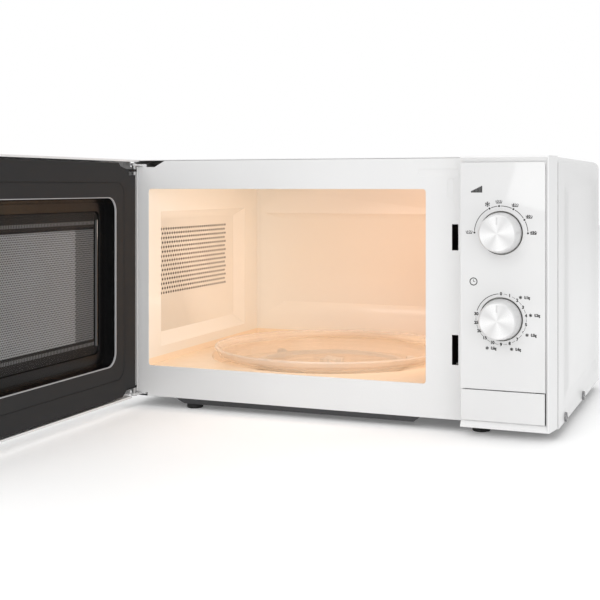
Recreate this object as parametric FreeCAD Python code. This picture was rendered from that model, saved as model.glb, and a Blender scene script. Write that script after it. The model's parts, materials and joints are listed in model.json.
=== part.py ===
# Countertop microwave oven with two rotary controls, a push-button door and a glass turntable.
# Units are millimetres. X runs left to right as seen from the front, Y runs front to back, Z up.
# Parts are drawn about the middle of the cabinet's width, on the plane the feet stand on, with
# Y = 0 at the steel front frame. They are saved about the middle of the open oven's outline.
# The door is modelled closed and then swung open by 90 degrees, its rest position.
import FreeCAD, Part
import math
import os

from FreeCAD import Vector

os.makedirs("parts", exist_ok=True)

# ---------------------------------------------------------------- driving dimensions
CABINET_W = 452.0          # across the flat sides, without their raised panels
BODY_Z0 = 10.5             # underside of the cabinet above the resting plane
BODY_Z1 = 262.5            # top of the cabinet
CABINET_D = 290.0          # front frame to the rear edge of the wrap
FRONT_T = 28.0             # how far the door and the control panel stand out in front
SHEET = 0.8                # steel sheet thickness
WRAP_R = 8.0               # rolled top edge of the wrap
EMBOSS = 3.0               # height of the raised side panels
PLASTIC = 2.2              # wall of the moulded plastic parts

OPEN_X0, OPEN_X1 = -206.0, 99.2
OPEN_Z0, OPEN_Z1 = 43.4, 231.6
OPEN_R = 3.0
CAVITY_D = 284.0           # front frame to the plain part of the rear cavity wall
CAVITY_BULGE = 7.0         # pressed panels in the cavity walls go out by this much
RECESS_R = 135.2           # round well in the cavity floor
RECESS_DEPTH = 14.0
TABLE_X = (OPEN_X0 + OPEN_X1) / 2
TABLE_Y = 148.0
PLATE_R = 132.5            # glass turntable plate
PLATE_RIM_Z = 54.5
PLATE_GLASS = 4.0
ROLLER_R = 5.0
ROLLER_TRACK_R = 92.0
GAP = 0.3                  # between bodies that move past each other

PANEL_X0 = 140.0           # joint between the door and the control panel
PANEL_GAP = 0.8
PANEL_DRAFT = 4.2          # the panel's outer side slopes in towards its front
RIM_W = 1.6                # flat rim round the front
BEVEL_W = 4.3              # slope from the rim down to the front plate
RECESS_T = 3.4             # depth of the recess that the front plate lies in
SIDE_RIM, SIDE_BEVEL = 0.9, 2.1   # the same rim and slope along the panel's outer side
PLATE_T = 2.2              # thickness of the front plates
BUTTON_Z1 = 46.3

KNOB_X = 178.0
POWER_Z = 191.5
TIMER_Z = 112.2
KNOB_R0, KNOB_R1 = 19.0, 16.6
KNOB_L = 22.0
KNOB_Y = -24.0             # a knob's base lies inside its hole in the panel
SHAFT_R = 3.0

HINGE_X = -CABINET_W / 2 + 5.8
HINGE_Y = -6.6
PIN_R = 2.5
RUNNING = 0.05             # radial clearance of pins and shafts in their bores
HINGE_TOP_Z = 256.4        # hinge tongues, seen in the notches of the front frame
HINGE_BOTTOM_Z = 12.3
LUG_TOP_Z, LUG_BOTTOM_Z = 250.0, 20.0
HINGE_T = 1.5

COVER_X0, COVER_X1 = -212.6, 134.0
COVER_Z0, COVER_Z1 = 15.3, 258.7
WINDOW_X0, WINDOW_X1 = -174.0, 67.0
WINDOW_Z0, WINDOW_Z1 = 50.2, 222.5
SCREEN_Y = -14.0           # perforated screen, closed door

SLOT_X0, SLOT_X1 = 125.2, 131.4
UPPER_SLOT = (173.0, 198.0)
LOWER_SLOT = (63.3, 92.0)
HOOK_REACH = 19.0          # how far the hooks reach behind the front frame
HOOK_LIFT = 4.0

BAY_X0 = OPEN_X1 + 2 * SHEET + 1.0   # component bay, right of the cavity
FAN_X, FAN_Z = 165.0, 176.0
MAGNETRON_Z = 178.0


# ---------------------------------------------------------------- helpers
def box(x0, x1, y0, y1, z0, z1):
    return Part.makeBox(x1 - x0, y1 - y0, z1 - z0, Vector(x0, y0, z0))


def rod(centre, axis, radius, length):
    return Part.makeCylinder(radius, length, Vector(*centre), Vector(*axis))


def tube(centre, axis, outer, inner, length):
    return rod(centre, axis, outer, length).cut(rod(centre, axis, inner, length))


def fuse(shapes):
    joined = shapes[0]
    for shape in shapes[1:]:
        joined = joined.fuse(shape)
    return joined.removeSplitter()


def cut(shape, tools):
    for tool in tools:
        shape = shape.cut(tool)
    return shape


def prism(points, direction):
    """Extrude the closed outline through the points along the direction."""
    corners = [Vector(*p) for p in points]
    face = Part.Face(Part.makePolygon(corners + corners[:1]))
    return face.extrude(Vector(*direction))


def frustum(rect_a, rect_b):
    """Solid between two rectangles, each given as its four corner points in order."""
    wires = [Part.makePolygon([Vector(*p) for p in list(r) + list(r)[:1]]) for r in (rect_a, rect_b)]
    return Part.makeLoft(wires, True, True)


def rect_xz(x0, x1, z0, z1, y):
    return [(x0, y, z0), (x1, y, z0), (x1, y, z1), (x0, y, z1)]


def rect_yz(y0, y1, z0, z1, x):
    return [(x, y0, z0), (x, y1, z0), (x, y1, z1), (x, y0, z1)]


def rounded_wire(x0, x1, z0, z1, y, r):
    """Rectangle with rounded corners, in a plane of constant Y."""
    k = r * (1 - math.sqrt(0.5))
    corners = [
        ((x1 - r, z0), (x1 - k, z0 + k), (x1, z0 + r)), ((x1, z1 - r), (x1 - k, z1 - k), (x1 - r, z1)),
        ((x0 + r, z1), (x0 + k, z1 - k), (x0, z1 - r)), ((x0, z0 + r), (x0 + k, z0 + k), (x0 + r, z0)),
    ]
    points = [[Vector(x, y, z) for x, z in corner] for corner in corners]
    edges = []
    for i, corner in enumerate(points):
        edges.append(Part.makeLine(points[i - 1][2], corner[0]))
        edges.append(Part.Arc(*corner).toShape())
    return Part.Wire(edges)


def rounded_frustum(rect, y0, r, draft, y1):
    """Rounded well that narrows by the draft from one Y to the other."""
    x0, x1, z0, z1 = rect
    wide = rounded_wire(x0, x1, z0, z1, y0, r)
    narrow = rounded_wire(x0 + draft, x1 - draft, z0 + draft, z1 - draft, y1, r - draft)
    return Part.makeLoft([wide, narrow], True, True)


def grown(rect, by):
    x0, x1, z0, z1 = rect
    return (x0 - by, x1 + by, z0 - by, z1 + by)


def round_edges(shape, radius, along, where):
    """Fillet the straight edges that run along an axis and whose middle passes the test."""
    chosen = []
    for edge in shape.Edges:
        if not isinstance(edge.Curve, (Part.Line, Part.LineSegment)):
            continue
        direction = edge.tangentAt(edge.FirstParameter)
        middle = edge.valueAt((edge.FirstParameter + edge.LastParameter) / 2)
        if abs(direction.dot(Vector(*along))) > 0.999 and where(middle):
            chosen.append(edge)
    return shape.makeFillet(radius, chosen)


def revolve(points, centre, axis):
    """Turn an outline of (radius, height) points about an axis through the centre."""
    outline = [Vector(r, 0, h) for r, h in points]
    face = Part.Face(Part.makePolygon(outline + outline[:1]))
    solid = face.revolve(Vector(0, 0, 0), Vector(0, 0, 1), 360)
    turn = FreeCAD.Rotation(Vector(0, 0, 1), Vector(*axis))
    solid.Placement = FreeCAD.Placement(Vector(*centre), turn)
    return solid


def spring(centre, axis, radius, wire, pitch, height):
    """Round-wire compression spring."""
    helix = Part.makeHelix(pitch, height, radius)
    circle = Part.Wire(Part.makeCircle(wire, Vector(radius, 0, 0), Vector(0, 1, 0)))
    coil = Part.Wire(helix).makePipeShell([circle], True, True)
    turn = FreeCAD.Rotation(Vector(0, 0, 1), Vector(*axis))
    coil.Placement = FreeCAD.Placement(Vector(*centre), turn)
    return coil


def screw(point, axis, head_r=4.6, head_h=2.4, length=8.0):
    """Pan-head screw with a cross recess; the point is under the head."""
    shank = rod((0, 0, -length), (0, 0, 1), 1.6, length + 0.5)
    head = Part.makeCylinder(head_r, head_h)
    head = head.makeFillet(1.1, [e for e in head.Edges if e.BoundBox.ZMin > head_h - 0.01])
    slots = [box(-2.4, 2.4, -0.5, 0.5, head_h - 1.2, head_h), box(-0.5, 0.5, -2.4, 2.4, head_h - 1.2, head_h)]
    body = cut(fuse([shank, head]), slots)
    turn = FreeCAD.Rotation(Vector(0, 0, 1), Vector(*axis))
    body.Placement = FreeCAD.Placement(Vector(*point), turn)
    return body


NODES = {}
BULGE_REAR = 9.0           # pressed bulge of the rear cover
DOOR_X0, DOOR_X1 = -CABINET_W / 2, PANEL_X0 - PANEL_GAP
OPEN_FRONT_X = HINGE_X - FRONT_T - HINGE_Y
OPEN_EDGE_Y = HINGE_Y - (DOOR_X1 - HINGE_X)
REAR_Y = CABINET_D - 1.0 + SHEET + BULGE_REAR
ORIGIN = Vector((OPEN_FRONT_X + CABINET_W / 2 + EMBOSS) / 2, (OPEN_EDGE_Y + REAR_Y) / 2, 0)


def save(name, shape, door=False):
    """Keep one node. Door parts are modelled closed and are swung open here."""
    shape = shape.copy()
    if door:
        shape.rotate(Vector(HINGE_X, HINGE_Y, 0), Vector(0, 0, 1), -90)
    shape.translate(-ORIGIN)
    NODES[name] = shape
    shape.exportStep("parts/" + name + ".step")


# ---------------------------------------------------------------- cabinet sheet metal
def side_panel(sign, height, inset):
    """Raised panel pressed into one side of the wrap."""
    x = sign * (CABINET_W / 2 - inset)
    slope = 9.0
    y0, y1, z0, z1 = 34.0, 274.0, 33.0, 236.0
    base = rect_yz(y0, y1, z0, z1, x)
    top = rect_yz(y0 + slope, y1 - slope, z0 + slope, z1 - slope, x + sign * height)
    return frustum(base, top)


def vent_rows(x0, x1, y0, rows, z, pitch, slot):
    """Slot cutters for a louvre of the cabinet, elongated along Y."""
    return [box(x0, x1, y0, y0 + slot[0], z + i * pitch, z + i * pitch + slot[1]) for i in range(rows)]


def outer_wrap():
    half = CABINET_W / 2
    outer = box(-half, half, 0, CABINET_D, BODY_Z0 - 1, BODY_Z1)
    outer = round_edges(outer, WRAP_R, (0, 1, 0), lambda p: p.z > BODY_Z1 - 1)
    inner = box(-half + SHEET, half - SHEET, -1, CABINET_D + 1, BODY_Z0 - 2, BODY_Z1 - SHEET)
    inner = round_edges(inner, WRAP_R - SHEET, (0, 1, 0), lambda p: p.z > BODY_Z1 - SHEET - 1)
    for sign in (1, -1):
        outer = outer.fuse(side_panel(sign, EMBOSS, 0.0))
        inner = inner.fuse(side_panel(sign, EMBOSS, SHEET))
    wrap = outer.cut(inner)
    return cut(wrap, vent_rows(-half - 5, -half + 5, 205, 9, 150, 7.0, (46, 2.6)))


def base_plate():
    """Steel pan with a dropped middle that makes room for the turntable motor."""
    half = CABINET_W / 2 - SHEET - 0.4
    y0, y1 = 1.2, CABINET_D - 1.2
    z = BODY_Z0
    drop = 5.5
    outer = box(-half, half, y0, y1, z, z + 9)
    inner = box(-half + SHEET, half - SHEET, y0 + SHEET, y1 - SHEET, z + SHEET, z + 10)
    pan_out = frustum(
        [(-174, y0, z + 0.01), (93, y0, z + 0.01), (93, 235, z + 0.01), (-174, 235, z + 0.01)],
        [(-165, y0 + 2, z - drop), (86, y0 + 2, z - drop), (86, 227, z - drop), (-165, 227, z - drop)],
    )
    pan_in = pan_out.copy()
    pan_in.translate(Vector(0, 0, SHEET))
    clip = box(-172, 91, y0 + SHEET + 1, 233, z - drop, z + 5)
    pan = outer.fuse(pan_out).cut(inner).cut(pan_in.common(clip))
    louvres = [box(110 + 14 * i, 117 + 14 * i, 20, 26, z - 1, z + 2) for i in range(6)]
    louvres += [box(120, 160, 250 + 8 * i, 253 + 8 * i, z - 1, z + 2) for i in range(4)]
    hinge_notch = box(-half - 1, -205, 0, 2.2, z + SHEET + 0.2, z + 10)
    return cut(pan, louvres + [hinge_notch])


def back_panel():
    """Rear cover with a pressed bulge over the cavity and louvres behind the fan."""
    half = CABINET_W / 2 - SHEET - 0.4
    y0 = CABINET_D - 1.0
    z0, z1 = BODY_Z0 + 10.0, BODY_Z1 - SHEET - 0.4
    sheet = box(-half, half, y0, y0 + SHEET, z0, z1)
    sheet = round_edges(sheet, WRAP_R - SHEET, (0, 1, 0), lambda p: p.z > z1 - 1)
    base = rect_xz(-212, 104, 34, 246, y0)
    top = rect_xz(-202, 94, 44, 236, y0 + BULGE_REAR)
    outside = frustum(base, top)
    outside.translate(Vector(0, SHEET, 0))
    inside = frustum(base, top)
    panel = sheet.fuse(outside).cut(inside)
    slots = []
    for row in range(9):
        z = FAN_Z - 34 + 8.5 * row
        slots += [box(FAN_X - 42 + 22 * i, FAN_X - 26 + 22 * i, y0 - 1, y0 + 2, z, z + 3.2) for i in range(4)]
    slots += [box(-214, -209, y0 - 1, y0 + 2, 40, 200)]
    slots += [rod((196, y0 - 1, 40), (0, 1, 0), 8.6, 3)]
    return cut(panel, slots)


def face_frame():
    """White front frame of the cavity, with the latch slots and the hinge notches."""
    half = CABINET_W / 2 - SHEET - 0.3
    z0, z1 = BODY_Z0 + 0.3, BODY_Z1 - SHEET - 0.3
    x1 = PANEL_X0 + 10
    frame = box(-half, x1, 0, SHEET, z0, z1)
    flange = box(-half, x1, 0, 7, z1 - SHEET, z1)
    flange = flange.fuse(box(-half, x1, 0, 1.1, z0, z0 + SHEET))
    flange = flange.fuse(box(-half, -half + SHEET, 0, 7, BODY_Z0 + 10, z1))
    mouth = box(OPEN_X0, OPEN_X1, -1, 2, OPEN_Z0, OPEN_Z1)
    mouth = round_edges(mouth, OPEN_R, (0, 1, 0), lambda p: True)
    notch = prism(
        [(-half - 1, -1, z1 + 1), (-185, -1, z1 + 1), (-199, -1, 254.8), (-half - 1, -1, 254.8)],
        (0, 9, 0),
    )
    foot_notch = box(-half - 1, -207.5, -1, 2, z0 - 1, HINGE_BOTTOM_Z + HINGE_T + 0.4)
    slots = [box(SLOT_X0, SLOT_X1, -1, 2, *UPPER_SLOT), box(SLOT_X0, SLOT_X1, -1, 2, *LOWER_SLOT)]
    bead_a = round_edges(box(92, 132, -1, 0.3, 244, 251), 2, (0, 1, 0), lambda p: True)
    bead_b = round_edges(box(121, 126.6, -1, 0.3, 222.5, 242), 2, (0, 1, 0), lambda p: True)
    return cut(frame.fuse(flange), [mouth, notch, foot_notch, bead_a, bead_b] + slots)


def hollow_box(x0, x1, y0, y1, z0, z1, t):
    """Box that is open at the front."""
    return box(x0 - t, x1 + t, y0, y1 + t, z0 - t, z1 + t).cut(box(x0, x1, y0 - 1, y1, z0, z1))


def cavity_shell():
    """Painted steel oven cavity: five walls, pressed panels and the turntable well."""
    t = SHEET
    x0, x1 = OPEN_X0 - 0.5, OPEN_X1 + 0.5
    z0, z1 = OPEN_Z0 - 0.3, OPEN_Z1 + 0.6
    y0 = SHEET + 0.05
    out = CAVITY_BULGE
    shell = hollow_box(x0, x1, y0, CAVITY_D, z0, z1, t)
    rear_a = rect_xz(-196, 89, 69, 200, CAVITY_D)
    rear_b = rect_xz(-170, 63, 86, 192, CAVITY_D + out)
    left_a = rect_yz(28, 246, 60, 207, x0)
    left_b = rect_yz(38, 226, 74, 198, x0 - out)
    for near, far, shift in ((rear_a, rear_b, Vector(0, t, 0)), (left_a, left_b, Vector(-t, 0, 0))):
        skin = frustum(near, far)
        skin.translate(shift)
        shell = shell.fuse(skin).cut(frustum(near, far))
    depth = RECESS_DEPTH
    well = Part.makeCone(RECESS_R - 6, RECESS_R, depth, Vector(TABLE_X, TABLE_Y, z0 - depth))
    skin = Part.makeCone(RECESS_R - 6 + t, RECESS_R + t, depth, Vector(TABLE_X, TABLE_Y, z0 - depth - t))
    shell = shell.fuse(skin.common(box(-220, 120, y0, CAVITY_D + t, 0, 60))).cut(well)
    shaft_hole = rod((TABLE_X, TABLE_Y, z0 - depth - 5), (0, 0, 1), 6.0, 10)
    port = box(x1 - 1, x1 + 2, 120, 200, 150, 200)
    lamp_window = box(x1 - 1, x1 + 2, 225, 255, 196, 216)
    return cut(shell, [shaft_hole, port, lamp_window])


def mica_cover():
    """Card that covers the waveguide's mouth on the right cavity wall."""
    x1 = OPEN_X1 + 0.5
    card = box(x1 - 0.6, x1 - 0.05, 112, 208, 142, 208)
    return round_edges(card, 6, (1, 0, 0), lambda p: True)


# ---------------------------------------------------------------- hinges
def hinge_plate(z, side):
    """Angle plate: a leg behind the front frame and a tongue out through the frame's notch."""
    x0, x1 = HINGE_X - 3.6, HINGE_X + 6.0
    leg_z = (z - 13.0, z + HINGE_T) if side > 0 else (z, z + 18.0)
    leg = box(x0, -209.5, 1.0, 2.4, *leg_z)
    tongue = box(x0, x1, HINGE_Y, 2.4, z, z + HINGE_T)
    nose = rod((HINGE_X, HINGE_Y, z), (0, 0, 1), 3.6, HINGE_T)
    hole = rod((HINGE_X, HINGE_Y, z - 1), (0, 0, 1), PIN_R, 5)
    return fuse([leg, tongue, nose]).cut(hole)


def hinge_pin(z, side):
    """Headed pin riveted into the tongue and reaching into the door."""
    length = 12.0
    z0 = z + HINGE_T if side > 0 else z
    stem = rod((HINGE_X, HINGE_Y, z0), (0, 0, -side), PIN_R, length)
    head = rod((HINGE_X, HINGE_Y, z0), (0, 0, side), 3.4, 1.0)
    return fuse([stem, head])


def hinge_clearance(shape):
    """Cut a door part back where the hinge tongues stand while it swings."""
    x1 = HINGE_X + 11.0
    y0 = HINGE_Y - 7.4
    high = box(-230, x1, y0, 1, HINGE_TOP_Z - 1.5, HINGE_TOP_Z + 4.0)
    low = box(-230, x1, y0, 1, HINGE_BOTTOM_Z - 1.9, HINGE_BOTTOM_Z + 3.0)
    return cut(shape, [high, low])


# ---------------------------------------------------------------- door, modelled closed
def front_recess(x0, x1, closed_left):
    """Bevelled recess in a front moulding; it runs out at the joint between door and panel."""
    near = [RIM_W, BEVEL_W + RIM_W]
    side = [SIDE_RIM, SIDE_BEVEL + SIDE_RIM]
    left = near if closed_left else [-1.0, -1.0]
    right = [-1.0, -1.0] if closed_left else side
    outer = rect_xz(x0 + left[0], x1 - right[0], BODY_Z0 + near[0], BODY_Z1 - near[0], -FRONT_T)
    inner_y = -FRONT_T + RECESS_T
    inner = rect_xz(x0 + left[1], x1 - right[1], BODY_Z0 + near[1], BODY_Z1 - near[1], inner_y)
    slope = frustum(outer, inner)
    mouth = box(x0 + left[0], x1 - right[0], -FRONT_T - 2, -FRONT_T, BODY_Z0 + near[0], BODY_Z1 - near[0])
    return slope.fuse(mouth)


def door_frame():
    """White moulded outer frame of the door."""
    shell = box(DOOR_X0, DOOR_X1, -FRONT_T, -2.5, BODY_Z0, BODY_Z1)
    shell = round_edges(shell, 3.0, (0, 1, 0), lambda p: p.x < DOOR_X0 + 1)
    back_y = -FRONT_T + RECESS_T + 2.1
    t = PLASTIC
    pocket = box(DOOR_X0 + t, DOOR_X1 - t, back_y, 0, BODY_Z0 + t, BODY_Z1 - t)
    window = box(-185, 78, -30, -20, 52, 221)
    hinge_edge = box(DOOR_X0 - 1, DOOR_X0 + t + 0.5, -4.7, 0, 0, 300)
    shell = cut(shell, [pocket, front_recess(DOOR_X0, DOOR_X1, True), window, hinge_edge])
    spring_seat = box(121.5, DOOR_X1 - t + 0.1, back_y - 0.1, -6, 214.4, 216.4)
    return hinge_clearance(shell.fuse(spring_seat))


def door_window():
    """Glossy front plate of the door; its middle is see-through."""
    y0 = -FRONT_T + RECESS_T - PLATE_T
    edge = RIM_W + BEVEL_W + 0.3
    plate = box(DOOR_X0 + edge, DOOR_X1 - 0.2, y0, y0 + PLATE_T, BODY_Z0 + edge, BODY_Z1 - edge)
    return round_edges(plate, 2.0, (0, 1, 0), lambda p: p.x < DOOR_X0 + 30)


def corner_cut_top():
    """Stepped corner of the inner door that clears the upper hinge."""
    outline = [(-176, 262), (-182.8, 255.3), (-200.1, 250.9), (-200.1, 246.2), (-216, 246.2), (-216, 262)]
    return prism([(x, -16, z) for x, z in outline], (0, 17, 0))


def corner_cut_bottom():
    outline = [(-187, 12), (-187, 15.6), (-197.4, 22.8), (-216, 22.8), (-216, 12)]
    return prism([(x, -16, z) for x, z in outline], (0, 17, 0))


def hinge_lug(z):
    """Bored lug on an arm that runs back to the steel inner door."""
    y0, y1 = HINGE_Y - 3.0, HINGE_Y + 3.0
    lug = rod((HINGE_X, HINGE_Y, z), (0, 0, 1), 3.0, 2.5)
    arm = box(HINGE_X, -180.0, y0, y1, z, z + 2.5)
    web = box(-186.0, -180.0, SCREEN_Y - SHEET, y1, z, z + 2.5)
    return fuse([lug, arm, web]).cut(rod((HINGE_X, HINGE_Y, z - 1), (0, 0, 1), PIN_R + RUNNING, 5))


def door_panel():
    """Steel inner door: the screen sheet, its choke wall and the two hinge lugs."""
    x0, x1, z0, z1 = -212.0, 118.0, 17.0, 257.0
    y1 = -3.6
    tray = box(x0, x1, SCREEN_Y - SHEET, y1, z0, z1)
    tray = tray.cut(box(x0 + SHEET, x1 - SHEET, SCREEN_Y, y1 + 1, z0 + SHEET, z1 - SHEET))
    tray = cut(tray, [corner_cut_top(), corner_cut_bottom()])
    return fuse([tray, hinge_lug(LUG_TOP_Z), hinge_lug(LUG_BOTTOM_Z)])


def choke_cover():
    """Black inner cover: flat border with a groove, a deep well round the screen, hook slots."""
    face_y = -0.5
    window = (WINDOW_X0, WINDOW_X1, WINDOW_Z0, WINDOW_Z1)
    sheet = box(COVER_X0, COVER_X1, face_y - 2.2, face_y, COVER_Z0, COVER_Z1)
    sheet = round_edges(sheet, 2.0, (0, 1, 0), lambda p: True)
    skirt = rounded_frustum(grown(window, 3.0), face_y - 0.1, 17.0, 0.1, SCREEN_Y + 0.3)
    well = rounded_frustum(window, face_y + 0.1, 14.0, 1.6, -11.6)
    ledge = rounded_frustum(grown(window, -13.5), -11.5, 8.0, 1.0, SCREEN_Y - 0.2)
    slots = [box(SLOT_X0 - 0.6, SLOT_X1, -5, 1, z0 - 1, z1) for z0, z1 in (UPPER_SLOT, LOWER_SLOT)]
    line = grown(window, 16.0)
    groove = rounded_frustum(line, face_y + 0.1, 13.0, 0.2, face_y - 0.6)
    groove = groove.cut(rounded_frustum(grown(line, -1.2), face_y + 0.2, 11.8, 0.0, face_y - 0.7))
    lip = rounded_frustum(grown(window, -3.6), -11.5, 10.0, 0.1, -12.2)
    lip = lip.cut(rounded_frustum(grown(window, -4.6), -11.4, 9.0, 0.0, -12.3))
    lug_ways = [box(-225, -178, -11, -2.8, z - 0.4, z + 2.9) for z in (LUG_TOP_Z, LUG_BOTTOM_Z)]
    cover = sheet.fuse(skirt)
    return cut(cover, [well, ledge, groove, lip, corner_cut_top(), corner_cut_bottom()] + slots + lug_ways)


def window_film():
    """Clear film between the well and the perforated screen."""
    edge = grown((WINDOW_X0, WINDOW_X1, WINDOW_Z0, WINDOW_Z1), -15.0)
    film = box(edge[0], edge[1], SCREEN_Y + 0.1, SCREEN_Y + 0.25, edge[2], edge[3])
    return round_edges(film, 3.0, (0, 1, 0), lambda p: True)


def hook(z0, height):
    arm = box(125.8, 129.8, -9.5, HOOK_REACH, z0 + 3.2, z0 + 3.2 + height)
    barb = prism([(125.8, 9, z0 + 3.3), (125.8, 9, z0 + 0.8), (125.8, HOOK_REACH, z0 + 3.3)], (4, 0, 0))
    return arm.fuse(barb)


def latch_hooks():
    """Both door hooks on their sliding bar."""
    bar = box(123.8, 131.8, -12.5, -9.0, 56, 200)
    return fuse([bar, hook(UPPER_SLOT[0], 10.8), hook(LOWER_SLOT[0], 20.5)])


# ---------------------------------------------------------------- control panel
def panel_block(inset, y0, y1):
    """The panel's outline, drawn in by an inset, with its sloping outer side."""
    x0 = PANEL_X0 + inset
    x1 = CABINET_W / 2 - 0.3 - inset
    front_x1 = x1 - PANEL_DRAFT * (-y0 - 0.6) / FRONT_T
    z0, z1 = BODY_Z0 + inset, BODY_Z1 - inset
    outline = [(x0, y0, z0), (front_x1, y0, z0), (x1, y1, z0), (x0, y1, z0)]
    return prism(outline, (0, 0, z1 - z0))


def control_housing():
    """White moulded body of the control panel."""
    rear_y = -1.0
    wall_y = -FRONT_T + RECESS_T + 2.1
    body = panel_block(0.0, -FRONT_T, rear_y)
    body = round_edges(body, 1.4, (1, 0, 0), lambda p: p.y < -FRONT_T + 1)
    pocket = panel_block(PLASTIC, wall_y, rear_y + 1)
    front_x1 = CABINET_W / 2 - 0.3 - PANEL_DRAFT
    recess = front_recess(PANEL_X0, front_x1, False)
    holes = [rod((KNOB_X, -30, z), (0, 1, 0), KNOB_R0 + 1.2, 12) for z in (POWER_Z, TIMER_Z)]
    button_x1 = front_x1 - SIDE_RIM - SIDE_BEVEL
    button_way = box(PANEL_X0 - 1, button_x1, -30, wall_y + 4, BODY_Z0 + 6.3, BUTTON_Z1)
    shell = cut(body, [pocket, recess, button_way] + holes)
    seat = box(150, 206, -9.5, -7.5, BODY_Z0 + 1, 48)
    lugs = [box(x, x + 2, -9.0, -1.4, 40, 55.5) for x in (158, 198)]
    bore = rod((150, -4.5, 52), (1, 0, 0), 2.0 + RUNNING, 60)
    stem_way = box(171.4, 186.6, -10, -7, 26.4, 37.6)
    housing = fuse([shell, seat] + lugs).cut(bore).cut(stem_way)
    return cut(housing, shadow_gap(rear_y))


def shadow_gap(rear_y):
    """Rebate round the housing's rear edge; it reads as a dark joint line against the wrap."""
    y0, y1 = rear_y - 1.4, rear_y + 0.1
    side = box(CABINET_W / 2 - 1.7, CABINET_W / 2 + 1, y0, y1, 0, 270)
    top = box(PANEL_X0 - 1, CABINET_W / 2 + 1, y0, y1, BODY_Z1 - 1.3, BODY_Z1 + 1)
    return [side, top]


def control_plate():
    """Glossy front plate of the panel with the two knob wells."""
    y0 = -FRONT_T + RECESS_T - PLATE_T
    edge = RIM_W + BEVEL_W + 0.3
    x1 = CABINET_W / 2 - 0.3 - PANEL_DRAFT - SIDE_RIM - SIDE_BEVEL - 0.2
    plate = box(PANEL_X0 + 0.2, x1, y0, y0 + PLATE_T, BUTTON_Z1 + 0.6, BODY_Z1 - edge)
    plate = round_edges(plate, 2.0, (0, 1, 0), lambda p: p.x > x1 - 1 and p.z > 200)
    wells = [rod((KNOB_X, y0 - 1, z), (0, 1, 0), KNOB_R0 + 1.2, 5) for z in (POWER_Z, TIMER_Z)]
    return cut(plate, wells)


def door_button():
    """Push button with its guide stem and nose."""
    x0, x1 = PANEL_X0 + 0.4, CABINET_W / 2 - 0.3 - PANEL_DRAFT - SIDE_RIM - SIDE_BEVEL - 0.6
    face = box(x0, x1, -26.9, -24.0, BODY_Z0 + 6.8, BUTTON_Z1 - 0.4)
    face = round_edges(face, 0.8, (1, 0, 0), lambda p: p.y < -26)
    stem = box(172, 186, -24.1, -10.5, 27, 37)
    nose = box(176, 182, -10.6, -6.0, 29.5, 33.0)
    boss = rod((160, -24.1, 32), (0, 1, 0), 2.2, 5)
    return fuse([face, stem, nose, boss])


def release_lever():
    """Bell crank: the button pushes its lower arm and its rear arm lifts the lower hook."""
    shaft = rod((151, -4.5, 52), (1, 0, 0), 2.0, 51)
    lower = box(174, 184, -5.5, -3.2, 27.5, 52)
    rear = box(151, 156.5, -5.5, 18, 50.4, 53.6)
    cross = box(126.5, 151.1, 12, 18, 50.4, 53.6)
    lifter = box(126.5, 131.5, 12, 18, 53, 63.5)
    return fuse([shaft, lower, rear, cross, lifter])


def knob(z):
    """Turned knob with a bevelled edge and a pointer line across its top."""
    lip = 1.2
    outline = [
        (SHAFT_R, 0), (KNOB_R0, 0), (KNOB_R0, 4.6), (KNOB_R1 + 0.5, KNOB_L - lip),
        (KNOB_R1 - 0.8, KNOB_L), (0, KNOB_L), (0, KNOB_L - 5), (SHAFT_R, KNOB_L - 5),
    ]
    body = revolve(outline, (KNOB_X, KNOB_Y, z), (0, -1, 0))
    face_y = KNOB_Y - KNOB_L
    line = box(KNOB_X - 0.6, KNOB_X + 0.6, face_y - 1, face_y + 0.7, z + 8.0, z + 14.6)
    return body.cut(line)


def knob_shaft(z):
    tip_y = KNOB_Y - KNOB_L + 5.05
    return rod((KNOB_X, tip_y, z), (0, 1, 0), SHAFT_R - 0.01, -14.0 - tip_y)


def timer_unit():
    """Timer and power selector: one mechanism that carries both shafts."""
    y0 = -FRONT_T + RECESS_T + 2.1 + 0.3
    body = box(154, 202, y0, 18, 92, 212)
    body = round_edges(body, 3.0, (0, 1, 0), lambda p: True)
    motor = rod((KNOB_X, 17.9, TIMER_Z), (0, 1, 0), 20.0, 12)
    bell_post = rod((KNOB_X, 17.9, POWER_Z - 22), (0, 1, 0), 1.9, 9)
    lug_a = box(160, 166, y0, y0 + 3, 211.5, 222)
    lug_b = box(190, 196, y0, y0 + 3, 82, 92.5)
    bores = [rod((KNOB_X, y0 - 1, z), (0, 1, 0), SHAFT_R + RUNNING, 10) for z in (POWER_Z, TIMER_Z)]
    return cut(fuse([body, motor, bell_post, lug_a, lug_b]), bores)


def timer_bell():
    """Pressed steel gong on the back of the timer."""
    centre = (KNOB_X, 20.8, POWER_Z - 22)
    outline = [(2.0, 5.2), (16, 5.2), (19, 0), (19.8, 0.3), (16.6, 6.2), (2.0, 6.2)]
    return revolve(outline, centre, (0, 1, 0))


# ---------------------------------------------------------------- latch and switches
SWITCH_Z = (176.6, 66.6, 77.4)


def latch_bracket():
    """Moulded bracket behind the front frame with a pocket for each hook."""
    y0 = SHEET + 0.2
    parts = [box(110, 112.4, y0, 48, 50, 210), box(110, 120, y0, 3.2, 50, 60)]
    ways = []
    for z0, z1 in (UPPER_SLOT, LOWER_SLOT):
        parts.append(box(112, 148, y0, 25.5, z0 - 4, z1 + 4))
        parts.append(box(112, 148, 25.4, 46, z0 - 4, z0 - 2))
        ways.append(box(SLOT_X0 - 0.9, SLOT_X1 + 1.4, 0, 30, z0 - 0.6, z1 + 1.0))
    lifter_way = box(125, 133, 8, 19.5, 55, 63)
    return cut(fuse(parts), ways + [lifter_way])


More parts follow.
